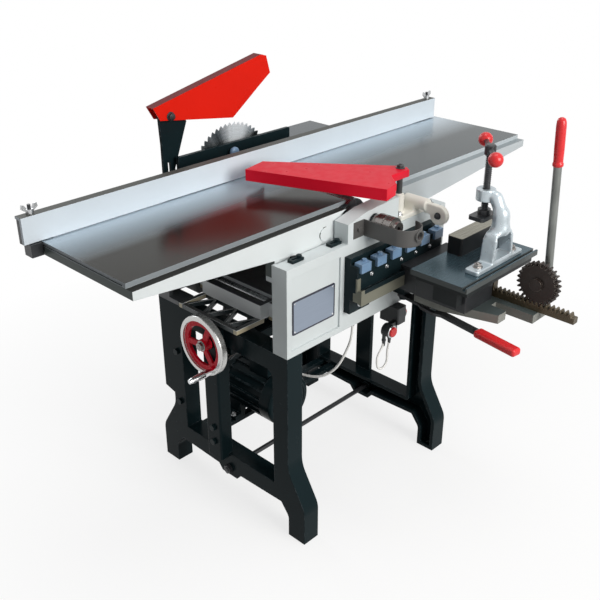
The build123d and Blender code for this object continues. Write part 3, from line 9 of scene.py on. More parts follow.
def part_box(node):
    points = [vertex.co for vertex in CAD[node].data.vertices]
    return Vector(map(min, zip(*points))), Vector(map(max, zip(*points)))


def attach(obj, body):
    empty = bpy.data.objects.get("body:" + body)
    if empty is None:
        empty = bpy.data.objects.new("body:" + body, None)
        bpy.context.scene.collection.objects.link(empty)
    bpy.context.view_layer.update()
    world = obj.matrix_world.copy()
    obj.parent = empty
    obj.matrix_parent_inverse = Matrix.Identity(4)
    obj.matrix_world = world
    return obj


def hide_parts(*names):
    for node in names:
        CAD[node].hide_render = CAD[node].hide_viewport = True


bl_info = {
    "name": "Combination Woodworking Machine",
    "version": (1, 0, 0),
    "blender": (4, 5, 0),
    "location": "3D View > Sidebar > Woodworking",
    "description": "Dresses a planer, saw and slot mortiser on a cast stand",
    "category": "Object",
}

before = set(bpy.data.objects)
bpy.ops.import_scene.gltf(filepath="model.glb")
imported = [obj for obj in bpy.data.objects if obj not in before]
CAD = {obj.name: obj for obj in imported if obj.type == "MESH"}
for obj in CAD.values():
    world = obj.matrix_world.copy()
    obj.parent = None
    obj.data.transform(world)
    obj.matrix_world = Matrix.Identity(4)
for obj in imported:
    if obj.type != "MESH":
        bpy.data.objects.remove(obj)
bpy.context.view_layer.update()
MM = 0.001
SIDE = Vector((1, 0, 0))
BACK = Vector((0, 1, 0))
UP = Vector((0, 0, 1))


# Settings that a user would change
def tint(name, description, colour):
    """A colour setting."""
    return bpy.props.FloatVectorProperty(
        name=name, description=description, subtype="COLOR", size=3, min=0, max=1, default=colour)


def length(name, description, size):
    """A length setting, its default given in millimetres."""
    return bpy.props.FloatProperty(
        name=name, description=description, default=size * MM, min=0, subtype="DISTANCE", unit="LENGTH",
        precision=4)


class MachineColours(bpy.types.PropertyGroup):
    """Colours of the machine's finishes."""
    stand_black: tint("Stand black", "Gloss enamel on the stand and motor", (0.008, 0.017, 0.020))
    casting_grey: tint("Casting grey", "Satin paint on the side castings", (0.65, 0.70, 0.71))
    skirt_white: tint("Skirt white", "Satin paint on the outfeed table's skirt", (0.70, 0.745, 0.755))
    skirt_grey: tint("Skirt grey", "Satin paint on the infeed table's skirt", (0.51, 0.555, 0.58))
    table_iron: tint("Table iron", "Ground iron of the table tops at the front", (0.026, 0.026, 0.022))
    # Painted reflection: the table tops turn to this lighter, bluer colour beside the fence
    table_fence_reflection: tint("Table bright", "Ground iron of the table tops beside the fence", (0.56, 0.65, 0.72))
    guard_red: tint("Guard red", "Gloss enamel on the planer guard and handwheel", (0.76, 0.010, 0.032))
    saw_red: tint("Saw guard red", "Gloss enamel on the saw guard", (0.76, 0.015, 0.006))
    grip_red: tint("Grip red", "Moulded grips, knobs and buttons", (0.72, 0.018, 0.022))
    bracket_white: tint("Bracket white", "Paint on the guard bracket", (0.93, 0.90, 0.82))
    silver_paint: tint("Silver paint", "Aluminium paint on the hold-down", (0.55, 0.62, 0.66))
    bright_steel: tint("Bright steel", "Turned steel", (0.52, 0.53, 0.54))
    black_iron: tint("Black iron", "Oiled black iron of the mortiser", (0.025, 0.027, 0.030))
    gear_iron: tint("Gear iron", "Oiled brown iron of the gears", (0.022, 0.015, 0.012))
    plate_grey: tint("Plate grey", "Bare nameplate", (0.26, 0.31, 0.39))
    cable_white: tint("Cable white", "Sheath of the cables", (0.94, 0.94, 0.91))


class MachineSizes(bpy.types.PropertyGroup):
    """Sizes of the pieces that are added to the solids."""
    plate_width: length("Plate width", "Width of the nameplate", 150)
    plate_height: length("Plate height", "Height of the nameplate", 92)
    plate_thick: length("Plate thickness", "Thickness of the nameplate", 1.6)
    lift_pitch: length("Lift pitch", "Pitch of the lifting screw's thread", 5)
    clamp_pitch: length("Clamp pitch", "Pitch of the hold-down screw's thread", 5)
    thread_depth: length("Thread depth", "Depth of the screw threads", 1.6)
    motor_cable: length("Motor cable", "Diameter of the motor cable", 7)
    switch_cable: length("Switch cable", "Diameter of the switch cable", 6)


class StudioSettings(bpy.types.PropertyGroup):
    """Camera, lights and floor."""
    lens: bpy.props.FloatProperty(
        name="Lens", description="Focal length in millimetres", default=50.84, min=10, max=200)
    eye: bpy.props.FloatVectorProperty(
        name="Eye", description="Place of the camera", subtype="XYZ", unit="LENGTH", size=3,
        default=(-1.54875, -1.46890, 1.59650))
    ahead: bpy.props.FloatVectorProperty(
        name="Ahead", description="Direction of view", subtype="DIRECTION", size=3,
        default=(0.64189, 0.61880, -0.45284))
    floor_tone: tint("Floor tone", "Colour of the floor", (0.95, 0.95, 0.95))
    floor_bounce: tint("Floor bounce", "Colour of the light that the floor throws back", (0.42, 0.42, 0.42))
    sky: bpy.props.FloatProperty(
        name="Sky", description="Strength of the even light from all round", default=0.24, min=0, max=2)


# Modelling helpers
THREAD_STEPS = 28
SLACK = 0.05


def metres(point):
    """A point in metres that is given in millimetres."""
    return [value * MM for value in point]


def clear_selection():
    """Leave edit mode and select nothing."""
    if bpy.context.object and bpy.context.object.mode != "OBJECT":
        object_mode()
    bpy.ops.object.select_all(action="DESELECT")


def pick(piece):
    """Select one piece alone and make it active."""
    clear_selection()
    piece.select_set(True)
    bpy.context.view_layer.objects.active = piece


def edit_parts(piece, kind, test=None):
    """Enter edit mode with the faces, edges or verts selected that pass a test, or all of them."""
    pick(piece)
    bpy.ops.object.mode_set(mode="EDIT")
    bpy.ops.mesh.select_mode(type={"faces": "FACE", "edges": "EDGE", "verts": "VERT"}[kind])
    bpy.ops.mesh.select_all(action="DESELECT")
    shape = bmesh.from_edit_mesh(piece.data)
    for part in getattr(shape, kind):
        part.select_set(test is None or test(part))
    bmesh.update_edit_mesh(piece.data)


def object_mode():
    """Go back to object mode."""
    bpy.ops.object.mode_set(mode="OBJECT")


def outward():
    """Turn the selected faces outward and go back to object mode."""
    bpy.ops.mesh.normals_make_consistent(inside=False)
    object_mode()


def apply_modifier(piece, kind, **settings):
    """Add a modifier with its settings and apply it."""
    pick(piece)
    bpy.ops.object.modifier_add(type=kind)
    modifier = piece.modifiers[-1]
    for key, value in settings.items():
        setattr(modifier, key, value)
    bpy.ops.object.modifier_apply(modifier=modifier.name)


def place_now(piece):
    """Put a piece's place, turn and scale into its mesh."""
    pick(piece)
    bpy.ops.object.transform_apply(location=True, rotation=True, scale=True)


def stand_on(piece, point, facing):
    """Move a piece made on Z so that it stands on a point and faces a direction."""
    turn = Vector(facing).to_track_quat("Z", "Y").to_matrix().to_4x4()
    piece.matrix_world = Matrix.Translation(Vector(point)) @ turn
    place_now(piece)
    return piece


def copy_of(piece):
    """A copy of a piece with its own mesh."""
    pick(piece)
    bpy.ops.object.duplicate(linked=False)
    return bpy.context.object


def join(pieces):
    """Join pieces into the first one."""
    clear_selection()
    for piece in pieces:
        piece.select_set(True)
    bpy.context.view_layer.objects.active = pieces[0]
    bpy.ops.object.join()
    return pieces[0]


def traced(points):
    """Start a piece as a line through points, left in edit mode with all selected."""
    clear_selection()
    bpy.ops.mesh.primitive_plane_add(size=MM)
    piece = bpy.context.object
    bpy.ops.object.mode_set(mode="EDIT")
    bpy.ops.mesh.select_mode(type="VERT")
    bpy.ops.mesh.select_all(action="SELECT")
    bpy.ops.mesh.merge(type="CENTER")
    bpy.ops.transform.translate(value=points[0])
    for start, end in zip(points, points[1:]):
        move = [after - before for before, after in zip(start, end)]
        bpy.ops.mesh.extrude_region_move(TRANSFORM_OT_translate={"value": move})
    bpy.ops.mesh.select_all(action="SELECT")
    return piece


def turned(profile, steps=40):
    """Turn a profile of (radius, height) points in millimetres about Z, as on a lathe."""
    piece = traced([metres((radius, 0, height)) for radius, height in profile])
    bpy.ops.mesh.spin(steps=steps, angle=2 * math.pi, center=(0, 0, 0), axis=(0, 0, 1))
    bpy.ops.mesh.select_all(action="SELECT")
    bpy.ops.mesh.remove_doubles(threshold=1e-6)
    outward()
    return piece


def hexagon(across, height, low):
    """A hexagon prism on Z whose top edge is chamfered, in millimetres."""
    clear_selection()
    bpy.ops.mesh.primitive_cylinder_add(vertices=6, radius=across * MM / math.sqrt(3), depth=height * MM,
                                        location=UP * (low + height / 2) * MM)
    piece = bpy.context.object
    place_now(piece)
    rim = (low + height * 0.99) * MM
    edit_parts(piece, "edges", lambda edge: all(vertex.co.z > rim for vertex in edge.verts))
    bpy.ops.mesh.bevel(offset=height * MM * 0.14, segments=2, affect="EDGES")
    object_mode()
    return piece


def nut(across, height):
    """A hexagon head on a washer, with the rounded end of its bolt, in millimetres."""
    washer = turned([(0, 0), (across * 0.72, 0), (across * 0.72, height * 0.16),
                     (across * 0.68, height * 0.22), (0, height * 0.22)], 32)
    tip = turned([(0, height), (across * 0.29, height), (across * 0.29, height * 1.2),
                  (across * 0.22, height * 1.3), (0, height * 1.33)], 24)
    return join([hexagon(across, height * 0.86, height * 0.2), washer, tip])


def threaded(radius, depth, pitch, low, turns):
    """The flanks of a screw thread on Z, wound from a profile one pitch tall."""
    core = radius - depth
    flanks = ((core, 0), (radius, 0.3), (radius, 0.5), (core, 0.8), (core, 1))
    piece = traced([(out, 0, low + up * pitch) for out, up in flanks])
    object_mode()
    apply_modifier(piece, "SCREW", angle=2 * math.pi, screw_offset=pitch, iterations=turns,
                   steps=THREAD_STEPS, render_steps=THREAD_STEPS)
    edit_parts(piece, "verts")
    bpy.ops.mesh.remove_doubles(threshold=1e-5)
    bpy.ops.mesh.fill_holes(sides=0)
    outward()
    return piece


def folded_wall(line, low, high, thick):
    """An upright sheet that follows a line of (x, y) points, in millimetres."""
    piece = traced([metres((x, y, low)) for x, y in line])
    bpy.ops.mesh.extrude_region_move(TRANSFORM_OT_translate={"value": UP * (high - low) * MM})
    bpy.ops.mesh.select_all(action="SELECT")
    outward()
    apply_modifier(piece, "SOLIDIFY", thickness=thick * MM, offset=0)
    apply_modifier(piece, "BEVEL", width=thick * MM / 4, segments=2)
    return piece


def rounded_casting(solid, passes):
    """A copy of a solid whose joins and edges flow together as in a sand casting."""
    piece = bpy.data.objects.new(solid.name + "_casting", solid.data.copy())
    bpy.context.scene.collection.objects.link(piece)
    edit_parts(piece, "verts")
    bpy.ops.mesh.remove_doubles(threshold=1e-5)
    object_mode()
    apply_modifier(piece, "REMESH", mode="VOXEL", voxel_size=CASTING_GRAIN * MM)
    apply_modifier(piece, "SMOOTH", factor=0.5, iterations=passes)
    return piece


def dress(piece, finish):
    """Give a piece one finish."""
    piece.data.materials.clear()
    piece.data.materials.append(FINISHES[finish])


def complete(piece, name, body, finish, smooth=35):
    """Name a piece, give it its finish and let it ride on its body."""
    place_now(piece)
    bpy.ops.object.shade_smooth_by_angle(angle=math.radians(smooth))
    piece.name = name
    piece.data.name = name
    dress(piece, finish)
    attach(piece, body)


# Material helpers
FINISHES = {}


def new_finish(name):
    """Start a finish, keep it under its name and give its node tree."""
    material = bpy.data.materials.new(name)
    material.use_nodes = True
    FINISHES[name] = material
    return material.node_tree


def connect(tree, made, inputs):
    """Set a node's inputs to values or plain colours, or link other nodes' sockets to them."""
    for key, value in inputs.items():
        socket = made.inputs[key]
        if isinstance(value, bpy.types.NodeSocket):
            tree.links.new(value, socket)
        elif socket.type == "RGBA":
            socket.default_value = (*value, 1)
        else:
            socket.default_value = value


def node(tree, kind, inputs=None, **settings):
    """Add a shader node with its settings and inputs."""
    made = tree.nodes.new(kind)
    for key, value in settings.items():
        setattr(made, key, value)
    connect(tree, made, inputs or {})
    return made


def math_node(tree, operation, first, second=0.0):
    """A maths node."""
    return node(tree, "ShaderNodeMath", {0: first, 1: second}, operation=operation).outputs[0]


def times(tree, first, second):
    """One value times another."""
    return math_node(tree, "MULTIPLY", first, second)


def above(tree, value, limit):
    """1 where a value is above a limit."""
    return math_node(tree, "GREATER_THAN", value, limit)


def vector_node(tree, operation, first, second=(0, 0, 0)):
    """A vector maths node."""
    made = node(tree, "ShaderNodeVectorMath", {0: first, 1: second}, operation=operation)
    return made.outputs["Value" if operation in ("DOT_PRODUCT", "LENGTH") else "Vector"]


def blend_colour(tree, factor, first, second):
    """Mix two colours."""
    return node(tree, "ShaderNodeMix", {0: factor, 6: first, 7: second}, data_type="RGBA").outputs[2]


def shaded(colour, gain):
    """A colour made lighter or darker."""
    return [min(1, channel * gain) for channel in colour]


def varied(tree, mask, colour, dark, light):
    """A colour that varies between two shades of it."""
    return blend_colour(tree, mask, shaded(colour, dark), shaded(colour, light))


def coordinate(tree, kind):
    """A texture coordinate, such as Object or Normal."""
    return node(tree, "ShaderNodeTexCoord").outputs[kind]


def split(tree, kind):
    """The X, Y and Z of a texture coordinate."""
    return node(tree, "ShaderNodeSeparateXYZ", {0: coordinate(tree, kind)}).outputs


def grain(tree, scale, detail, stretch=(1, 1, 1)):
    """Noise on stretched object coordinates."""
    place = node(tree, "ShaderNodeMapping", {"Vector": coordinate(tree, "Object"), "Scale": stretch})
    inputs = {"Vector": place.outputs[0], "Scale": scale, "Detail": detail}
    return node(tree, "ShaderNodeTexNoise", inputs).outputs["Fac"]


def remap(tree, value, low, high, to_low=0, to_high=1):
    """Map a range of values onto another, kept inside it."""
    inputs = {0: value, 1: low, 2: high, 3: to_low, 4: to_high}
    return node(tree, "ShaderNodeMapRange", inputs, clamp=True).outputs[0]


def inside(tree, axis, low, high):
    """1 where an object coordinate lies between two values in millimetres."""
    place = split(tree, "Object")[axis]
    over = above(tree, place, low * MM)
    return times(tree, over, math_node(tree, "LESS_THAN", place, high * MM))


def spoke(tree, name, plane):
    """The arm from a solid's middle to a place, laid flat in a plane."""
    low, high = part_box(name)
    arm = vector_node(tree, "SUBTRACT", coordinate(tree, "Object"), (low + high) / 2)
    return vector_node(tree, "MULTIPLY", arm, plane)


def finish_surface(tree, colour, metallic, rough, relief, bare, wear_and_glint, rounding=1.2, gloss=0.5):
    """Join colour, edges lighter as wear and painted highlight, roughness and relief, whose depth and
    rounding are in millimetres.
    """
    rounded = node(tree, "ShaderNodeBevel", {"Radius": rounding * MM}, samples=4).outputs[0]
    flat = node(tree, "ShaderNodeNewGeometry").outputs["Normal"]
    # Lighter edges: wear, and on the stand and the tables also a painted highlight along the edges
    edges = remap(tree, vector_node(tree, "DOT_PRODUCT", rounded, flat), 0.985, 0.86)
    chips = remap(tree, grain(tree, 60, 5), 0.42, 0.62)
    edge_wear_and_glint = times(tree, times(tree, edges, chips), wear_and_glint)
    height, depth = relief
    bump = node(tree, "ShaderNodeBump",
                {"Height": height, "Strength": 1.0, "Distance": depth * MM, "Normal": rounded})
    shader = tree.nodes["Principled BSDF"]
    connect(tree, shader, {"Base Color": blend_colour(tree, edge_wear_and_glint, colour, bare), "Roughness": rough,
                           "Metallic": metallic, "Specular IOR Level": gloss, "Normal": bump.outputs[0]})
    return shader


# Finishes, with depths, heights and widths in millimetres
# Span across the tables, in Y, over which the painted reflection of the fence fades in
FENCE_REFLECTION_SPAN = (-20, 120)
RIM_WIDTH = 13.5
HUB_RADIUS = 13
SLAB_DEPTH = 40.5
STRIP_WIDTH = 11.5
STRIP_BRASS = (0.50, 0.44, 0.30)
# Axis of the saw blade's painted highlight
PAINTED_HIGHLIGHT_AXIS = (0.2, 0, 0.98)


def paint(name, colour, rough, gloss=0.5, peel=0.06, wear_and_glint=0.5, bare=(0.35, 0.34, 0.32), patches=(), top=None,
          rounding=1.2):
    """Enamel with orange peel, lighter edges as wear and painted highlight, and perhaps patches or a top of
    another colour.
    """
    tree = new_finish(name)
    shade = varied(tree, grain(tree, 7, 3), colour, 0.9, 1.1)
    for low, high, other in patches:
        along, across, up = [inside(tree, *span) for span in zip("XYZ", low, high)]
        mask = times(tree, times(tree, along, across), up)
        shade = blend_colour(tree, mask, shade, other)
    # A top of another colour is painted shade: on the saw guard the faces that point up are painted darker
    if top:
        shade = blend_colour(tree, remap(tree, split(tree, "Normal")["Z"], 0.85, 0.92), shade, top)
    roughness = remap(tree, grain(tree, 45, 5), 0.3, 0.7, rough * 0.8, rough * 1.25)
    finish_surface(tree, shade, 0.0, roughness, (grain(tree, 420, 2), peel), bare, wear_and_glint, rounding, gloss)


def cast(name, colour, rough, metallic=0.0, wear_and_glint=0.4, bare=(0.40, 0.39, 0.37), sand=0.2):
    """A painted or oiled casting with sand-cast relief."""
    tree = new_finish(name)
    stain = remap(tree, grain(tree, 16, 6), 0.35, 0.65)
    shade = varied(tree, stain, colour, 0.86, 1.1)
    roughness = remap(tree, grain(tree, 80, 5), 0.3, 0.7, rough * 0.8, rough * 1.25)
    finish_surface(tree, shade, metallic, roughness, (grain(tree, 260, 6), sand), bare, wear_and_glint)


def steel(name, colour, rough, stretch, metallic=1.0, streak=20):
    """Machined steel with fine tool marks in one direction."""
    tree = new_finish(name)
    marks = grain(tree, streak, 3, stretch)
    shade = varied(tree, marks, colour, 0.88, 1.1)
    roughness = remap(tree, marks, 0.25, 0.75, rough * 0.8, rough * 1.25)
    finish_surface(tree, shade, metallic, roughness, (marks, 0.01), shaded(colour, 1.3), 0.2, 0.5)


def moulded(name, colour, rough, relief=0.05):
    """Moulded plastic or rubber."""
    tree = new_finish(name)
    shade = varied(tree, grain(tree, 20, 3), colour, 0.9, 1.08)
    roughness = remap(tree, grain(tree, 150, 4), 0.3, 0.7, rough * 0.8, rough * 1.2)
    finish_surface(tree, shade, 0.0, roughness, (grain(tree, 900, 2), relief), shaded(colour, 1.2), 0.1, 0.8)


def ground_table(name, iron, grey, metallic=0.4, top_rough=0.3, level=0, back=None, step=None, ends=None,
                 edges=(), caps=()):
    """Ground metal on the faces that point up, over painted sides; towards the fence the tops take a painted
    reflection of it.

    Faces that point up below a level are steps. They and the ends may have their own colour, the planer
    tables' ends a darker one as painted shade, and so may the sides (edges) and the faces that point up
    (caps) above given heights.
    """
    tree = new_finish(name)
    facing = split(tree, "Normal")
    place = split(tree, "Object")
    flat = remap(tree, facing["Z"], 0.9, 0.95)
    top = times(tree, flat, above(tree, place["Z"], level * MM))
    marks = grain(tree, 14, 5, (1, 220, 1))
    # Beside the fence the tops turn lighter and bluer: a painted reflection of the fence, not a polish
    polished = remap(tree, place["Y"], *metres(FENCE_REFLECTION_SPAN))
    tone = blend_colour(tree, polished, iron, back or iron)
    tone = blend_colour(tree, times(tree, marks, 0.3), tone, shaded(iron, 0.6))
    shade = varied(tree, grain(tree, 9, 3), grey, 0.95, 1.04)
    # On the planer tables the end faces are painted darker as shade
    if ends:
        endwise = above(tree, math_node(tree, "ABSOLUTE", facing["X"]), 0.9)
        shade = blend_colour(tree, endwise, shade, ends)
    for height, colour in edges:
        shade = blend_colour(tree, above(tree, place["Z"], height * MM), shade, colour)
    shade = blend_colour(tree, flat, shade, step or shaded(iron, 0.5))
    shade = blend_colour(tree, top, shade, tone)
    for height, colour in caps:
        capped = times(tree, flat, above(tree, place["Z"], height * MM))
        shade = blend_colour(tree, capped, shade, colour)
    smooth_top = remap(tree, marks, 0.3, 0.7, top_rough * 0.88, top_rough * 1.12)
    smooth_side = remap(tree, grain(tree, 5, 4), 0.3, 0.7, 0.34, 0.48)
    rough = node(tree, "ShaderNodeMix", {0: top, 2: smooth_side, 3: smooth_top}).outputs[0]
    # The pale edges of the tables are partly wear and partly a painted highlight along the top edges
    finish_surface(tree, shade, times(tree, top, metallic), rough,
                   (grain(tree, 400, 2), 0.02), grey, 0.3, gloss=0.17)


def wheel_finish(name, red, bright):
    """Bright rim and hub with painted spokes between them."""
    tree = new_finish(name)
    low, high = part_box("handwheel")
    away = vector_node(tree, "LENGTH", spoke(tree, "handwheel_shaft", (0, 1, 1)))
    rim = above(tree, away, (high.z - low.z) / 2 - RIM_WIDTH * MM)
    hub = math_node(tree, "LESS_THAN", away, HUB_RADIUS * MM)
    bare = math_node(tree, "MAXIMUM", rim, hub)
    shade = blend_colour(tree, bare, red, bright)
    roughness = remap(tree, grain(tree, 90, 4), 0.3, 0.7, 0.2, 0.34)
    finish_surface(tree, shade, times(tree, bare, 0.85), roughness,
                   (grain(tree, 40, 3), 0.006), bright, 0.0, 0.2, 0.12)


def bed_finish(name, black, grey, bright):
    """A grey bed with a ground top, and black extensions below it between bright side strips."""
    tree = new_finish(name)
    place = split(tree, "Object")
    low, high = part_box("near_bed_roller")
    bed_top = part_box("thickness_bed")[1].z
    slab = above(tree, place["Z"], bed_top - SLAB_DEPTH * MM)
    front = math_node(tree, "LESS_THAN", place["Y"], low.y + STRIP_WIDTH * MM)
    rear = above(tree, place["Y"], high.y - STRIP_WIDTH * MM)
    shade = blend_colour(tree, math_node(tree, "MAXIMUM", front, rear), black, STRIP_BRASS)
    shade = blend_colour(tree, slab, shade, varied(tree, grain(tree, 8, 4), grey, 0.92, 1.06))
    top = times(tree, remap(tree, split(tree, "Normal")["Z"], 0.9, 0.95), slab)
    marks = grain(tree, 12, 4, (1, 180, 1))
    shade = blend_colour(tree, top, shade, varied(tree, marks, bright, 0.8, 1.05))
    roughness = remap(tree, grain(tree, 60, 4), 0.3, 0.7, 0.3, 0.44)
    finish_surface(tree, shade, times(tree, top, 0.85), roughness, (grain(tree, 350, 3), 0.05), bright, 0.4)


def blade_finish(name, dark, bright):
    """Steel ground in rings about the blade's axis, with bright fans painted into its colour as a highlight.
    """
    tree = new_finish(name)
    arm = spoke(tree, "saw_blade", (1, 0, 1))
    way = vector_node(tree, "NORMALIZE", arm)
    # Painted highlight: bright streaked fans along one axis, made less metallic so that their painted colour
    # shows
    upright = math_node(tree, "ABSOLUTE", vector_node(tree, "DOT_PRODUCT", way, PAINTED_HIGHLIGHT_AXIS))
    fan = remap(tree, upright, 0.87, 0.99, 0, 0.9)
    highlight_streaks = node(tree, "ShaderNodeTexNoise", {"Vector": way, "Scale": 7, "Detail": 5}).outputs["Fac"]
    fan = math_node(tree, "ADD", fan, remap(tree, highlight_streaks, 0.3, 0.8, 0, 0.28))
    fan = remap(tree, fan, 0, 1)
    rings = node(tree, "ShaderNodeTexNoise",
                 {"W": vector_node(tree, "LENGTH", arm), "Scale": 900, "Detail": 3},
                 noise_dimensions="1D").outputs["Fac"]
    shade = blend_colour(tree, fan, dark, bright)
    shade = blend_colour(tree, times(tree, rings, 0.25), shade, dark)
    roughness = remap(tree, rings, 0.3, 0.7, 0.2, 0.34)
    shader = finish_surface(tree, shade, remap(tree, fan, 0, 1, 1, 0.35), roughness, (rings, 0.012), bright,
                            0.2, 0.3)
    tangent = node(tree, "ShaderNodeTangent", direction_type="RADIAL", axis="Y")
    connect(tree, shader, {"Tangent": tangent.outputs[0], "Anisotropic": 0.8, "Anisotropic Rotation": 0.25})


def make_finishes(colours):
    """Build every finish of the machine once."""
    bright = colours.bright_steel
    black = colours.stand_black
    beige = (0.19, 0.19, 0.15)
    table_end_shade = (0.07, 0.088, 0.084)
    across_x = (60, 1, 1)
    across_y = (1, 60, 1)
    across_z = (1, 1, 60)
    # On the stand the pale bluish edges are painted highlights, glints of the glossy enamel, as well as wear
    paint("stand_enamel", black, 0.22, gloss=0.05, wear_and_glint=0.75, bare=(0.13, 0.16, 0.18), rounding=2.5)
    paint("casting_paint", colours.casting_grey, 0.40, gloss=0.12, wear_and_glint=0.3, bare=(0.40, 0.40, 0.38))
    paint("rear_paint", (0.06, 0.065, 0.07), 0.42, wear_and_glint=0.3)
    paint("knee_paint", black, 0.34, gloss=0.1, bare=(0.2, 0.2, 0.2),
          patches=(((-109, -330, 620), (241, -262, 664), beige),
                   ((-109, -300, 650), (-95, -270, 704), beige)))
    # The near black patch on the pivot post is painted shade under the guard
    paint("bracket_paint", colours.bracket_white, 0.42, wear_and_glint=0.4,
          patches=(((125, -215, 845), (157, -183, 930), (0.04, 0.04, 0.04)),))
    ground_table("table_iron", colours.table_iron, colours.skirt_white, 0.55, 0.18, level=850,
                 back=colours.table_fence_reflection, ends=table_end_shade, edges=((848.2, (0.26, 0.29, 0.31)),))
    ground_table("infeed_iron", (0.055, 0.07, 0.075), colours.skirt_grey, 0.55, 0.18, level=850,
                 back=colours.table_fence_reflection, step=(0.30, 0.34, 0.36), ends=table_end_shade,
                 edges=((848.2, (0.50, 0.55, 0.58)),))
    ground_table("saw_iron", (0.10, 0.115, 0.125), colours.casting_grey)
    ground_table("mortise_iron", (0.065, 0.11, 0.135), (0.018, 0.021, 0.022), 0.6, 0.26,
                 edges=((705.5, (0.08, 0.09, 0.09)), (720.2, (0.012, 0.013, 0.014))),
                 caps=((740, (0.26, 0.25, 0.20)),))
    ground_table("arm_iron", (0.10, 0.125, 0.125), (0.23, 0.235, 0.215), 0.3, 0.36)
    ground_table("fence_steel", (0.06, 0.063, 0.056), (0.66, 0.73, 0.79), 0.1, 0.45)
    paint("guard_enamel", colours.guard_red, 0.34, gloss=0.09, wear_and_glint=0.0, peel=0.02)
    # The saw guard's dark red top is painted shade
    paint("saw_enamel", colours.saw_red, 0.34, gloss=0.08, wear_and_glint=0.0, peel=0.02, top=(0.15, 0.006, 0.008))
    cast("silver_casting", colours.silver_paint, 0.32, metallic=0.5, wear_and_glint=0.1, sand=0.05)
    steel("turned_x", bright, 0.26, across_x)
    steel("turned_y", bright, 0.26, across_y)
    steel("turned_z", bright, 0.26, across_z)
    steel("chuck_steel", (0.27, 0.255, 0.245), 0.24, across_y, metallic=0.9)
    paint("clip_steel", (0.17, 0.28, 0.43), 0.3, wear_and_glint=0.6, bare=(0.6, 0.65, 0.7))
    steel("polished", (0.66, 0.67, 0.68), 0.16, across_x, streak=8)
    steel("knife_steel", (0.44, 0.45, 0.46), 0.30, across_y, streak=12)
    # The bright colour is the blade's painted highlight
    blade_finish("blade_steel", (0.045, 0.06, 0.065), (0.88, 0.93, 0.96))
    cast("black_iron", colours.black_iron, 0.36, metallic=0.2, bare=(0.16, 0.17, 0.19))
    paint("black_cover", black, 0.34, gloss=0.12, wear_and_glint=0.25, bare=(0.08, 0.08, 0.08))
    cast("gear_iron", colours.gear_iron, 0.42, metallic=0.4, wear_and_glint=0.9, bare=(0.5, 0.44, 0.36))
    cast("rack_bronze", (0.085, 0.066, 0.038), 0.40, metallic=0.4, wear_and_glint=0.9, bare=(0.5, 0.42, 0.3))
    cast("lever_steel", (0.195, 0.205, 0.195), 0.38, metallic=0.5, wear_and_glint=0.2)
    paint("band_paint", (0.085, 0.083, 0.08), 0.42)
    moulded("grip_plastic", colours.grip_red, 0.30)
    moulded("box_plastic", (0.012, 0.015, 0.017), 0.42)
    moulded("knob_plastic", (0.62, 0.66, 0.62), 0.34)
    moulded("cable_sheath", colours.cable_white, 0.36, 0.02)
    moulded("belt_rubber", (0.02, 0.02, 0.02), 0.7, 0.2)
    wheel_finish("wheel_paint", colours.guard_red, (0.58, 0.58, 0.57))
    bed_finish("bed_iron", black, (0.84, 0.87, 0.88), (0.16, 0.165, 0.165))
    steel("plate_metal", colours.plate_grey, 0.40, (1, 1, 40), metallic=0.2, streak=16)
    paint("plate_edge", (0.02, 0.022, 0.04), 0.4, wear_and_glint=0.2)


DRESS = {
    "stand_enamel": ["near_end_frame", "far_end_frame", "elevating_bridge", "guard_post", "motor_body",
                     "motor_rails", "rip_fence"],
    "knee_paint": ["mortise_knee"],
    "casting_paint": ["front_side_casting"],
    "rear_paint": ["rear_side_casting"],
    "table_iron": ["outfeed_table"],
    "infeed_iron": ["infeed_table"],
    "saw_iron": ["saw_table"],
    "mortise_iron": ["mortise_table"],
    "arm_iron": ["base_arm"],
    "fence_steel": ["fence"],
    "guard_enamel": ["planer_guard"],
    "saw_enamel": ["saw_guard"],
    "bracket_paint": ["guard_bracket"],
    "silver_casting": ["hold_down"],
    "band_paint": ["chuck_guard"],
    "turned_y": ["spindle_bearings", "cutter_block", "motor_shaft", "near_bed_roller", "far_bed_roller",
                 "saw_clamp"],
    "chuck_steel": ["drill_chuck"],
    "turned_x": ["handwheel_shaft"],
    "turned_z": ["wing_nuts", "elevating_screw"],
    "clip_steel": ["gib_screws"],
    "black_cover": ["fasteners"],
    "blade_steel": ["saw_blade"],
    "knife_steel": ["planer_knives"],
    "polished": ["crank_handle"],
    "wheel_paint": ["handwheel"],
    "bed_iron": ["thickness_bed"],
    "black_iron": ["mortise_slide", "cross_lever", "cross_link", "hold_down_screw", "fence_brackets",
                   "pressure_pad", "tie_rod"],
    "lever_steel": ["feed_lever"],
    "gear_iron": ["feed_pinion", "lift_nut", "spindle_pulley", "motor_pulley"],
    "rack_bronze": ["feed_rack"],
    "grip_plastic": ["feed_grip", "cross_grip", "clamp_knobs", "start_button", "stop_button"],
    "box_plastic": ["switch_box"],
    "cable_sheath": ["motor_cable", "switch_cable"],
    "belt_rubber": ["v_belts"],
}


class WOODMACHINE_OT_finishes(bpy.types.Operator):
    """Give every solid of the machine its finish"""
    bl_idname = "woodmachine.finishes"
    bl_label = "Finishes"

    def execute(self, context):
        make_finishes(context.scene.machine_colours)
        for finish, names in DRESS.items():
            for name in names:
                dress(CAD[name], finish)
        return {"FINISHED"}


# Nameplate, in millimetres like the other pieces
PLATE_AT = (-213, -227, 646)
PLATE_CORNER = 5
PLATE_BORDER = 4
PANEL_SLOPE = 0.6
PANEL_RISE = 0.4
RIVET = ((0, 0), (2.6, 0), (2.4, 0.9), (1.4, 1.6), (0, 1.9))
RIVET_INSET = 8
RIVET_LIFT = 0.3


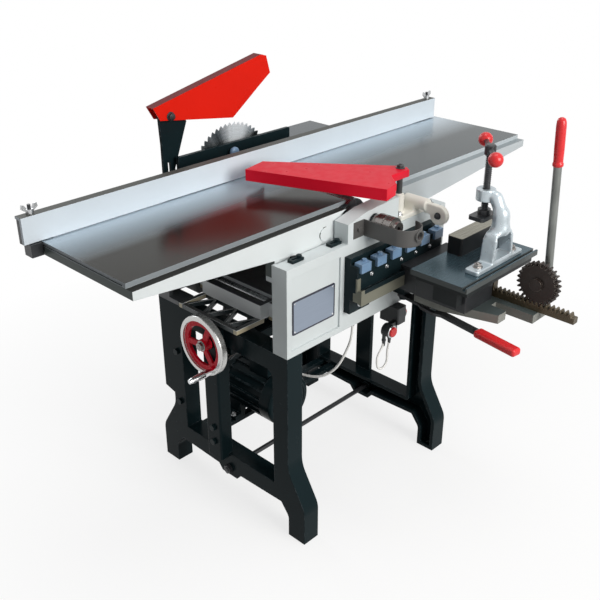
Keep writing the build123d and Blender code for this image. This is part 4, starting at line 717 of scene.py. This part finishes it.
class WOODMACHINE_OT_nameplate(bpy.types.Operator):
    """Fix the bare nameplate in the recess of the front casting"""
    bl_idname = "woodmachine.nameplate"
    bl_label = "Nameplate"

    def execute(self, context):
        sizes = context.scene.machine_sizes
        plate = self.plate(sizes)
        complete(plate, "nameplate", "stand", "plate_edge", smooth=12)
        self.panel_finish(plate)
        self.rivets(sizes)
        return {"FINISHED"}

    def plate(self, sizes):
        """A thin plate with softened corners and a slightly raised panel."""
        clear_selection()
        bpy.ops.mesh.primitive_cube_add(size=1)
        plate = bpy.context.object
        plate.scale = (sizes.plate_width, sizes.plate_thick, sizes.plate_height)
        plate.location = Vector(metres(PLATE_AT)) - BACK * sizes.plate_thick / 2
        place_now(plate)
        edit_parts(plate, "edges", lambda edge: abs(edge.verts[0].co.y - edge.verts[1].co.y) > MM)
        bpy.ops.mesh.bevel(offset=PLATE_CORNER * MM, segments=4, affect="EDGES")
        object_mode()
        edit_parts(plate, "faces", lambda face: face.normal.y < -0.9)
        bpy.ops.mesh.inset(thickness=PLATE_BORDER * MM, depth=0)
        bpy.ops.mesh.inset(thickness=PANEL_SLOPE * MM, depth=PANEL_RISE * MM)
        object_mode()
        return plate

    def panel_finish(self, plate):
        """Give the raised panel its own metal."""
        plate.data.materials.append(FINISHES["plate_metal"])
        front = min(vertex.co.y for vertex in plate.data.vertices)
        edit_parts(plate, "faces", lambda face: face.calc_center_median().y < front + SLACK * MM)
        plate.active_material_index = 1
        bpy.ops.object.material_slot_assign()
        object_mode()

    def rivets(self, sizes):
        """Four domed rivets in the corners of the panel."""
        head = turned(RIVET, 20)
        x = sizes.plate_width / 2 - RIVET_INSET * MM
        y = -sizes.plate_thick - RIVET_LIFT * MM
        z = sizes.plate_height / 2 - RIVET_INSET * MM
        group = []
        for corner in ((-x, y, -z), (-x, y, z), (x, y, -z), (x, y, z)):
            group.append(stand_on(copy_of(head), Vector(metres(PLATE_AT)) + Vector(corner), -BACK))
        bpy.data.objects.remove(head)
        complete(join(group), "nameplate_rivets", "stand", "turned_y")


# Castings and guard lip
CASTING_GRAIN = 1.8
NECK_LOW = 790
NECK_PASSES = 60
BOSS_RADIUS = 27
LIP = ((37, -267), (77, -220), (147, -222), (158, -207), (150, -182))
LIP_LOW = 893
LIP_TOP = 911
LIP_THICK = 2.6


class WOODMACHINE_OT_castings(bpy.types.Operator):
    """Round the hold-down and the guard bracket off as sand castings"""
    bl_idname = "woodmachine.castings"
    bl_label = "Castings"

    def execute(self, context):
        casting = rounded_casting(CAD["hold_down"], passes=5)
        self.round_neck(casting)
        complete(casting, "hold_down_casting", "mortise_table", "silver_casting", smooth=60)
        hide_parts("hold_down")
        casting = rounded_casting(CAD["guard_bracket"], passes=6)
        complete(casting, "guard_bracket_casting", "stand", "bracket_paint", smooth=60)
        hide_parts("guard_bracket")
        return {"FINISHED"}

    def round_neck(self, casting):
        """Blend the neck between the column and the screw boss into one sweep."""
        def on_neck(vertex):
            out = math.hypot(vertex.co.x - CLAMP_X * MM, vertex.co.y - CLAMP_Y * MM)
            return vertex.co.z > NECK_LOW * MM and out > BOSS_RADIUS * MM

        edit_parts(casting, "verts", on_neck)
        bpy.ops.mesh.vertices_smooth(factor=0.5, repeat=NECK_PASSES)
        object_mode()


class WOODMACHINE_OT_guard_lip(bpy.types.Operator):
    """Fold the lip that runs round the pivot end of the planer guard"""
    bl_idname = "woodmachine.guard_lip"
    bl_label = "Guard lip"

    def execute(self, context):
        lip = folded_wall(LIP, LIP_LOW, LIP_TOP, LIP_THICK)
        complete(lip, "planer_guard_lip", "planer_guard", "guard_enamel")
        return {"FINISHED"}


# Saw blade
BLADE_TEETH = 56
TOOTH_ROOT = 10
TOOTH_BACK = 3.5
BORE_SHARE = 1 / 12


class WOODMACHINE_OT_blade(bpy.types.Operator):
    """Cut the fine hooked teeth of the saw blade"""
    bl_idname = "woodmachine.blade"
    bl_label = "Saw blade"

    def execute(self, context):
        low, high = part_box("saw_blade")
        radius = (high.z - low.z) / 2
        clear_selection()
        bpy.ops.mesh.primitive_circle_add(vertices=3 * BLADE_TEETH, radius=radius)
        blade = bpy.context.object
        edit_parts(blade, "edges")
        bpy.ops.mesh.extrude_region_move()
        bpy.ops.transform.resize(value=(BORE_SHARE, BORE_SHARE, 1), center_override=(0, 0, 0))
        object_mode()
        for step, cut in ((1, TOOTH_ROOT), (2, TOOTH_BACK)):
            self.cut_back(blade, radius, step, cut * MM)
        edit_parts(blade, "faces")
        outward()
        apply_modifier(blade, "SOLIDIFY", thickness=high.y - low.y, offset=0)
        stand_on(blade, (low + high) / 2, -BACK)
        complete(blade, "saw_blade_toothed", "spindle", "blade_steel", smooth=30)
        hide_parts("saw_blade")
        return {"FINISHED"}

    def cut_back(self, blade, radius, step, cut):
        """Pull every third point of the rim inward, counted clockwise from a tooth's tip."""
        def chosen(vertex):
            count = round(math.atan2(vertex.co.x, vertex.co.y) / (2 * math.pi) * 3 * BLADE_TEETH)
            return vertex.co.length > radius - SLACK * MM and count % 3 == step

        edit_parts(blade, "verts", chosen)
        scale = 1 - cut / radius
        bpy.ops.transform.resize(value=(scale, scale, 1), center_override=(0, 0, 0))
        object_mode()


# Bolts and nuts, each size as its width across flats and its height
TINY = (8, 3.5)
SMALL = (13, 7)
MEDIUM = (17, 9)
LARGE = (21, 9)
RAIL_NUTS = [((x, y, 147.5), UP, SMALL) for y in (129, 177) for x in (-174, -26)]
BOLTS = (
    ("stand_nuts", "stand", "bright_steel", "turned_z",
     [((213, -210, 793), UP, MEDIUM), ((124, -216, 793), UP, SMALL)] + RAIL_NUTS),
    ("stand_bolts", "stand", "bright_steel", "turned_y",
     [((-66, -252, 620), -BACK, MEDIUM), ((240, 290.2, 742), BACK, MEDIUM),
      ((-220, 304, 720), BACK, MEDIUM)]),
    ("gib_lock_screws", "stand", "bright_steel", "turned_y",
     [((x, -275, 703), -BACK, TINY) for x in range(-54, 187, 60)]),
    ("guard_pivot_nuts", "stand", "black_iron", "black_iron",
     [((141, -199, 912.3), UP, MEDIUM), ((-214, 284.6, 1025), -BACK, MEDIUM)]),
    ("bracket_eye_bolt", "stand", "black_iron", "black_iron", [((177.4, -300, 797), -SIDE, SMALL)]),
    ("hold_down_nuts", "mortise_table", "bright_steel", "chuck_steel",
     [((106, -476, 732), UP, MEDIUM), ((260, -476, 732), UP, MEDIUM)]),
    ("rip_fence_nut", "saw_table", "bright_steel", "turned_z", [((197, 350, 870), UP, MEDIUM)]),
    ("handwheel_nut", "handwheel", "bright_steel", "chuck_steel", [((-362, 28, 502), -SIDE, LARGE)]),
)


class WOODMACHINE_OT_bolts(bpy.types.Operator):
    """Add the bolts and nuts that are too small for the solids"""
    bl_idname = "woodmachine.bolts"
    bl_label = "Bolts"

    def execute(self, context):
        models = {size: nut(*size) for size in (TINY, SMALL, MEDIUM, LARGE)}
        for name, body, slot, finish, places in BOLTS:
            group = [stand_on(copy_of(models[size]), metres(point), facing) for point, facing, size in places]
            complete(join(group), name, body, finish, smooth=28)
        for model in models.values():
            bpy.data.objects.remove(model)
        return {"FINISHED"}


# Screws, grips and knobs
CLAMP_X = 187
CLAMP_Y = -429
CLAMP_RADIUS = 9
CLAMP_HEAD = ((0, -15), (11, -15), (14, -12), (14, 9), (11, 12), (0, 12))
CLAMP_BAR = (64, 55)
CLAMP_BAR_Z = 1000
THREAD_STOP = 13
LIFT_FOOT = 9
GRIP = ((10, 0), (11.4, 0), (13, 2), (13, 8), (11.5, 10), (11.5, 14), (12.1, 40), (12, 96), (11.2, 106),
        (8.6, 112.5), (4.1, 115.3), (0, 115.6))
GRIP_FOOT = (248, -576.34, 976)
GRIP_LEAN = (0, 22, 399)
KNOB = ((0, 0), (7, 0), (7, 5), (12, 8), (15, 13), (15, 18), (12, 21.5), (0, 22.5))
KNOB_FOOT = (-20, 274, 892)


class WOODMACHINE_OT_screws(bpy.types.Operator):
    """Cut the threads of the hold-down screw and of the lifting screw"""
    bl_idname = "woodmachine.screws"
    bl_label = "Screws"

    def execute(self, context):
        sizes = context.scene.machine_sizes
        screw = self.clamp_screw(sizes)
        complete(screw, "clamp_screw_thread", "hold_down_screw", "black_iron")
        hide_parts("hold_down_screw")
        screw = self.lift_screw(sizes)
        complete(screw, "lift_screw_thread", "bed", "turned_z")
        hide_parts("elevating_screw")
        return {"FINISHED"}

    def clamp_screw(self, sizes):
        """Threaded screw with a chamfered head and the tommy bar through it."""
        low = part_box("hold_down_screw")[0].z
        turns = int((CLAMP_BAR_Z * MM - THREAD_STOP * MM - low) / sizes.clamp_pitch)
        thread = threaded(CLAMP_RADIUS * MM, sizes.thread_depth, sizes.clamp_pitch, low, turns)
        head = stand_on(turned(CLAMP_HEAD, 36), UP * CLAMP_BAR_Z * MM, UP)
        reach = math.hypot(*CLAMP_BAR)
        bar = turned([(0, -reach), (5, -reach), (6, 2 - reach), (6, reach - 2), (5, reach), (0, reach)], 24)
        stand_on(bar, UP * CLAMP_BAR_Z * MM, (*CLAMP_BAR, 0))
        screw = join([thread, head, bar])
        screw.location = (CLAMP_X * MM, CLAMP_Y * MM, 0)
        return screw

    def lift_screw(self, sizes):
        """Threaded lifting screw with a plain chamfered foot."""
        low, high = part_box("elevating_screw")
        radius = (high.x - low.x) / 2
        foot = LIFT_FOOT * MM
        turns = int((high.z - low.z - foot) / sizes.lift_pitch)
        thread = threaded(radius, sizes.thread_depth, sizes.lift_pitch, low.z + foot, turns)
        core = (radius - sizes.thread_depth) / MM
        end = turned([(0, 0), (core - 2, 0), (core, 2), (core, LIFT_FOOT + 1)], 32)
        screw = join([thread, stand_on(end, UP * low.z, UP)])
        screw.location = ((low.x + high.x) / 2, (low.y + high.y) / 2, 0)
        return screw


class WOODMACHINE_OT_grips(bpy.types.Operator):
    """Turn the grip of the feed lever and the knob of the rip fence"""
    bl_idname = "woodmachine.grips"
    bl_label = "Grips"

    def execute(self, context):
        grip = stand_on(turned(GRIP), metres(GRIP_FOOT), GRIP_LEAN)
        complete(grip, "feed_grip_turned", "feed_pinion", "grip_plastic", smooth=50)
        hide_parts("feed_grip")
        knob = stand_on(turned(KNOB), metres(KNOB_FOOT), -BACK)
        complete(knob, "rip_fence_knob", "rip_fence", "clip_steel", smooth=50)
        return {"FINISHED"}


# Switch rings, cable sleeves and motor grille
STOP_AT = (60, -262, 487)
START_AT = (120, -246, 520)
SLEEVES = (((48, -245, 462), -UP, 3.1), ((72, -245, 462), -UP, 3.1), ((-38, -206, 545), -UP, 3.6),
           ((-88, 10, 328), -BACK, 3.6))
GRILLE_AT = (-100, -30, 235)
GRILLE_FACE = 2.5
GRILLE_GROOVE = 0.4


class WOODMACHINE_OT_fittings(bpy.types.Operator):
    """Add the button rings, the cable sleeves and the motor's fan grille"""
    bl_idname = "woodmachine.fittings"
    bl_label = "Fittings"

    def execute(self, context):
        self.ring("stop_ring", STOP_AT, -BACK, 14.4, 18, "turned_y", "bright_steel")
        self.ring("start_ring", START_AT, SIDE, 12.4, 16, "knob_plastic", "white_paint")
        group = []
        for point, facing, bore in SLEEVES:
            sleeve = turned([(bore, 0), (bore + 3, 0), (bore + 3, 4), (bore + 1.9, 5.5), (bore + 0.7, 20),
                             (bore, 20), (bore, 0)], 28)
            group.append(stand_on(sleeve, metres(point), facing))
        complete(join(group), "cable_sleeves", "stand", "box_plastic")
        self.grille()
        return {"FINISHED"}

    def ring(self, name, point, facing, inner, outer, finish, slot):
        """A chamfered ring round a button."""
        ring = turned([(inner, 0), (outer, 0), (outer, 1.5), (outer - 1.5, 3), (inner, 3), (inner, 0)])
        stand_on(ring, metres(point), facing)
        complete(ring, name, "stand", finish)

    def grille(self):
        """Concentric ridges of the fan cover."""
        profile = [(8, -1), (8, GRILLE_FACE)]
        for out in range(16, 57, 10):
            profile += [(out - 2, GRILLE_FACE), (out - 1, GRILLE_GROOVE), (out + 2, GRILLE_GROOVE),
                        (out + 3, GRILLE_FACE)]
        profile += [(64, GRILLE_FACE), (66, -1)]
        grille = stand_on(turned(profile, 48), metres(GRILLE_AT), -BACK)
        complete(grille, "motor_grille", "stand", "black_cover")


# Cables, with their routes in millimetres and their lengths in metres
SWITCH_ROUTE = [(48, -245, 462), (48, -245, 444), (21, -245, 418), (21, -247, 386.89), (33.89, -247, 374),
                (52.11, -247, 374), (65, -247, 386.89), (65, -245, 418), (72, -245, 444), (72, -245, 462)]
MOTOR_ROUTE = [(-38, -206, 545), (-38, -206, 492), (-35, -185, 437), (-46, -165, 382), (-64, -132, 345),
               (-78, -92, 333), (-88, -35, 328), (-88, 10, 328)]


def make_cable(name, route, diameter):
    """A cable along a route of control points, from one gland to another."""
    line = bpy.data.curves.new(name + "_line", "CURVE")
    line.dimensions = "3D"
    line.bevel_depth = diameter / 2
    line.bevel_resolution = 6
    line.resolution_u = 12
    line.use_fill_caps = True
    spline = line.splines.new("NURBS")
    spline.points.add(len(route) - 1)
    for point, place in zip(spline.points, route):
        point.co = (*metres(place), 1)
    spline.order_u = 3
    spline.use_endpoint_u = True
    cable = bpy.data.objects.new(name + "_sheath", line)
    bpy.context.scene.collection.objects.link(cable)
    dress(cable, "cable_sheath")
    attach(cable, "stand")
    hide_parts(name)


class WOODMACHINE_OT_cables(bpy.types.Operator):
    """Lay the motor cable and the hanging switch cable"""
    bl_idname = "woodmachine.cables"
    bl_label = "Cables"

    def execute(self, context):
        sizes = context.scene.machine_sizes
        make_cable("motor_cable", MOTOR_ROUTE, sizes.motor_cable)
        make_cable("switch_cable", SWITCH_ROUTE, sizes.switch_cable)
        return {"FINISHED"}


# Studio, in metres; a lamp has its name, place, target, width, power and colour
FLOOR_SIZE = 60
FLOOR_DROP = 0.0005
WHITE = (1, 1, 1)
LAMPS = (("key", (0.1, -4.2, 2.4), (0, -0.2, 0.6), 2.6, 165, (1, 0.98, 0.95)),
         ("top", (0.3, -0.4, 4.4), (0, 0, 0.7), 2.4, 42, WHITE),
         ("rim", (0.2, 4.0, 2.8), (0, 0, 0.8), 2.0, 40, (0.93, 0.97, 1)))


def background_rays(tree):
    """1 for the rays that show the background: those from the camera, from gloss and through glass."""
    path = node(tree, "ShaderNodeLightPath").outputs
    seen = math_node(tree, "MAXIMUM", path["Is Camera Ray"], path["Is Glossy Ray"])
    return math_node(tree, "MAXIMUM", seen, path["Is Transmission Ray"])


def look_along(thing, direction):
    """Turn a camera or a lamp to look along a direction."""
    thing.rotation_mode = "QUATERNION"
    thing.rotation_quaternion = direction.to_track_quat("-Z", "Y")


class WOODMACHINE_OT_stage(bpy.types.Operator):
    """Set up the camera, the lights and the pale floor"""
    bl_idname = "woodmachine.stage"
    bl_label = "Stage"

    def execute(self, context):
        studio = context.scene.studio
        self.camera(context.scene, studio)
        self.floor(studio)
        self.lights()
        self.world(context.scene, studio)
        context.scene.view_settings.view_transform = "Standard"
        return {"FINISHED"}

    def camera(self, scene, studio):
        """A camera at the viewing angle of the photograph."""
        clear_selection()
        bpy.ops.object.camera_add(location=studio.eye)
        camera = bpy.context.object
        look_along(camera, Vector(studio.ahead))
        camera.data.sensor_width = 36
        camera.data.lens = studio.lens
        camera.data.clip_end = 100
        scene.camera = camera

    def floor(self, studio):
        """A wide plain floor that turns white further out."""
        clear_selection()
        bpy.ops.mesh.primitive_plane_add(size=FLOOR_SIZE, location=(0, 0, -FLOOR_DROP))
        ground = bpy.context.object
        ground.name = "studio_floor"
        tree = new_finish("studio_floor")
        shader = tree.nodes["Principled BSDF"]
        seen = background_rays(tree)
        tone = blend_colour(tree, seen, studio.floor_bounce, studio.floor_tone)
        connect(tree, shader, {"Base Color": tone, "Roughness": 1.0, "Specular IOR Level": 0.0})
        away = vector_node(tree, "LENGTH", coordinate(tree, "Object"))
        share = times(tree, remap(tree, away, 0.4, 1.6, 0.76, 1.0), seen)
        white = node(tree, "ShaderNodeEmission", {0: WHITE, 1: 1.0})
        mix = node(tree, "ShaderNodeMixShader", {0: share, 1: shader.outputs[0], 2: white.outputs[0]})
        connect(tree, tree.nodes["Material Output"], {0: mix.outputs[0]})
        dress(ground, "studio_floor")

    def lights(self):
        """A large soft key from the operator's side, a soft top light and a rim light."""
        for name, place, target, width, power, colour in LAMPS:
            clear_selection()
            bpy.ops.object.light_add(type="AREA", location=place)
            lamp = bpy.context.object
            lamp.name = name + "_light"
            lamp.data.shape = "DISK"
            lamp.data.size = width
            lamp.data.energy = power
            lamp.data.color = colour
            look_along(lamp, Vector(target) - Vector(place))

    def world(self, scene, studio):
        """Even light all round, and a white ground behind the object."""
        world = bpy.data.worlds.new("studio")
        world.use_nodes = True
        tree = world.node_tree
        tree.nodes.clear()
        light = node(tree, "ShaderNodeBackground", {0: WHITE, 1: studio.sky})
        white = node(tree, "ShaderNodeBackground", {0: WHITE, 1: 1.0})
        mix = node(tree, "ShaderNodeMixShader",
                   {0: background_rays(tree), 1: light.outputs[0], 2: white.outputs[0]})
        node(tree, "ShaderNodeOutputWorld", {0: mix.outputs[0]})
        scene.world = world


STEPS = (WOODMACHINE_OT_finishes, WOODMACHINE_OT_nameplate, WOODMACHINE_OT_castings, WOODMACHINE_OT_guard_lip,
         WOODMACHINE_OT_blade, WOODMACHINE_OT_bolts, WOODMACHINE_OT_screws, WOODMACHINE_OT_grips,
         WOODMACHINE_OT_fittings, WOODMACHINE_OT_cables, WOODMACHINE_OT_stage)


class WOODMACHINE_PT_panel(bpy.types.Panel):
    """Steps that dress the machine"""
    bl_idname = "WOODMACHINE_PT_panel"
    bl_label = "Woodworking machine"
    bl_space_type = "VIEW_3D"
    bl_region_type = "UI"
    bl_category = "Woodworking"

    def draw(self, context):
        for step in STEPS:
            self.layout.operator(step.bl_idname)


CLASSES = (MachineColours, MachineSizes, StudioSettings) + STEPS + (WOODMACHINE_PT_panel,)


def register():
    """Register the classes and their settings on the scene."""
    for part in CLASSES:
        bpy.utils.register_class(part)
    bpy.types.Scene.machine_colours = bpy.props.PointerProperty(type=MachineColours)
    bpy.types.Scene.machine_sizes = bpy.props.PointerProperty(type=MachineSizes)
    bpy.types.Scene.studio = bpy.props.PointerProperty(type=StudioSettings)


def unregister():
    """Remove the settings and classes again."""
    del bpy.types.Scene.studio
    del bpy.types.Scene.machine_sizes
    del bpy.types.Scene.machine_colours
    for part in reversed(CLASSES):
        bpy.utils.unregister_class(part)


def main():
    """Dress the machine step by step."""
    register()
    bpy.ops.woodmachine.finishes()
    bpy.ops.woodmachine.nameplate()
    bpy.ops.woodmachine.castings()
    bpy.ops.woodmachine.guard_lip()
    bpy.ops.woodmachine.blade()
    bpy.ops.woodmachine.bolts()
    bpy.ops.woodmachine.screws()
    bpy.ops.woodmachine.grips()
    bpy.ops.woodmachine.fittings()
    bpy.ops.woodmachine.cables()
    bpy.ops.woodmachine.stage()


if __name__ == "__main__":
    main()
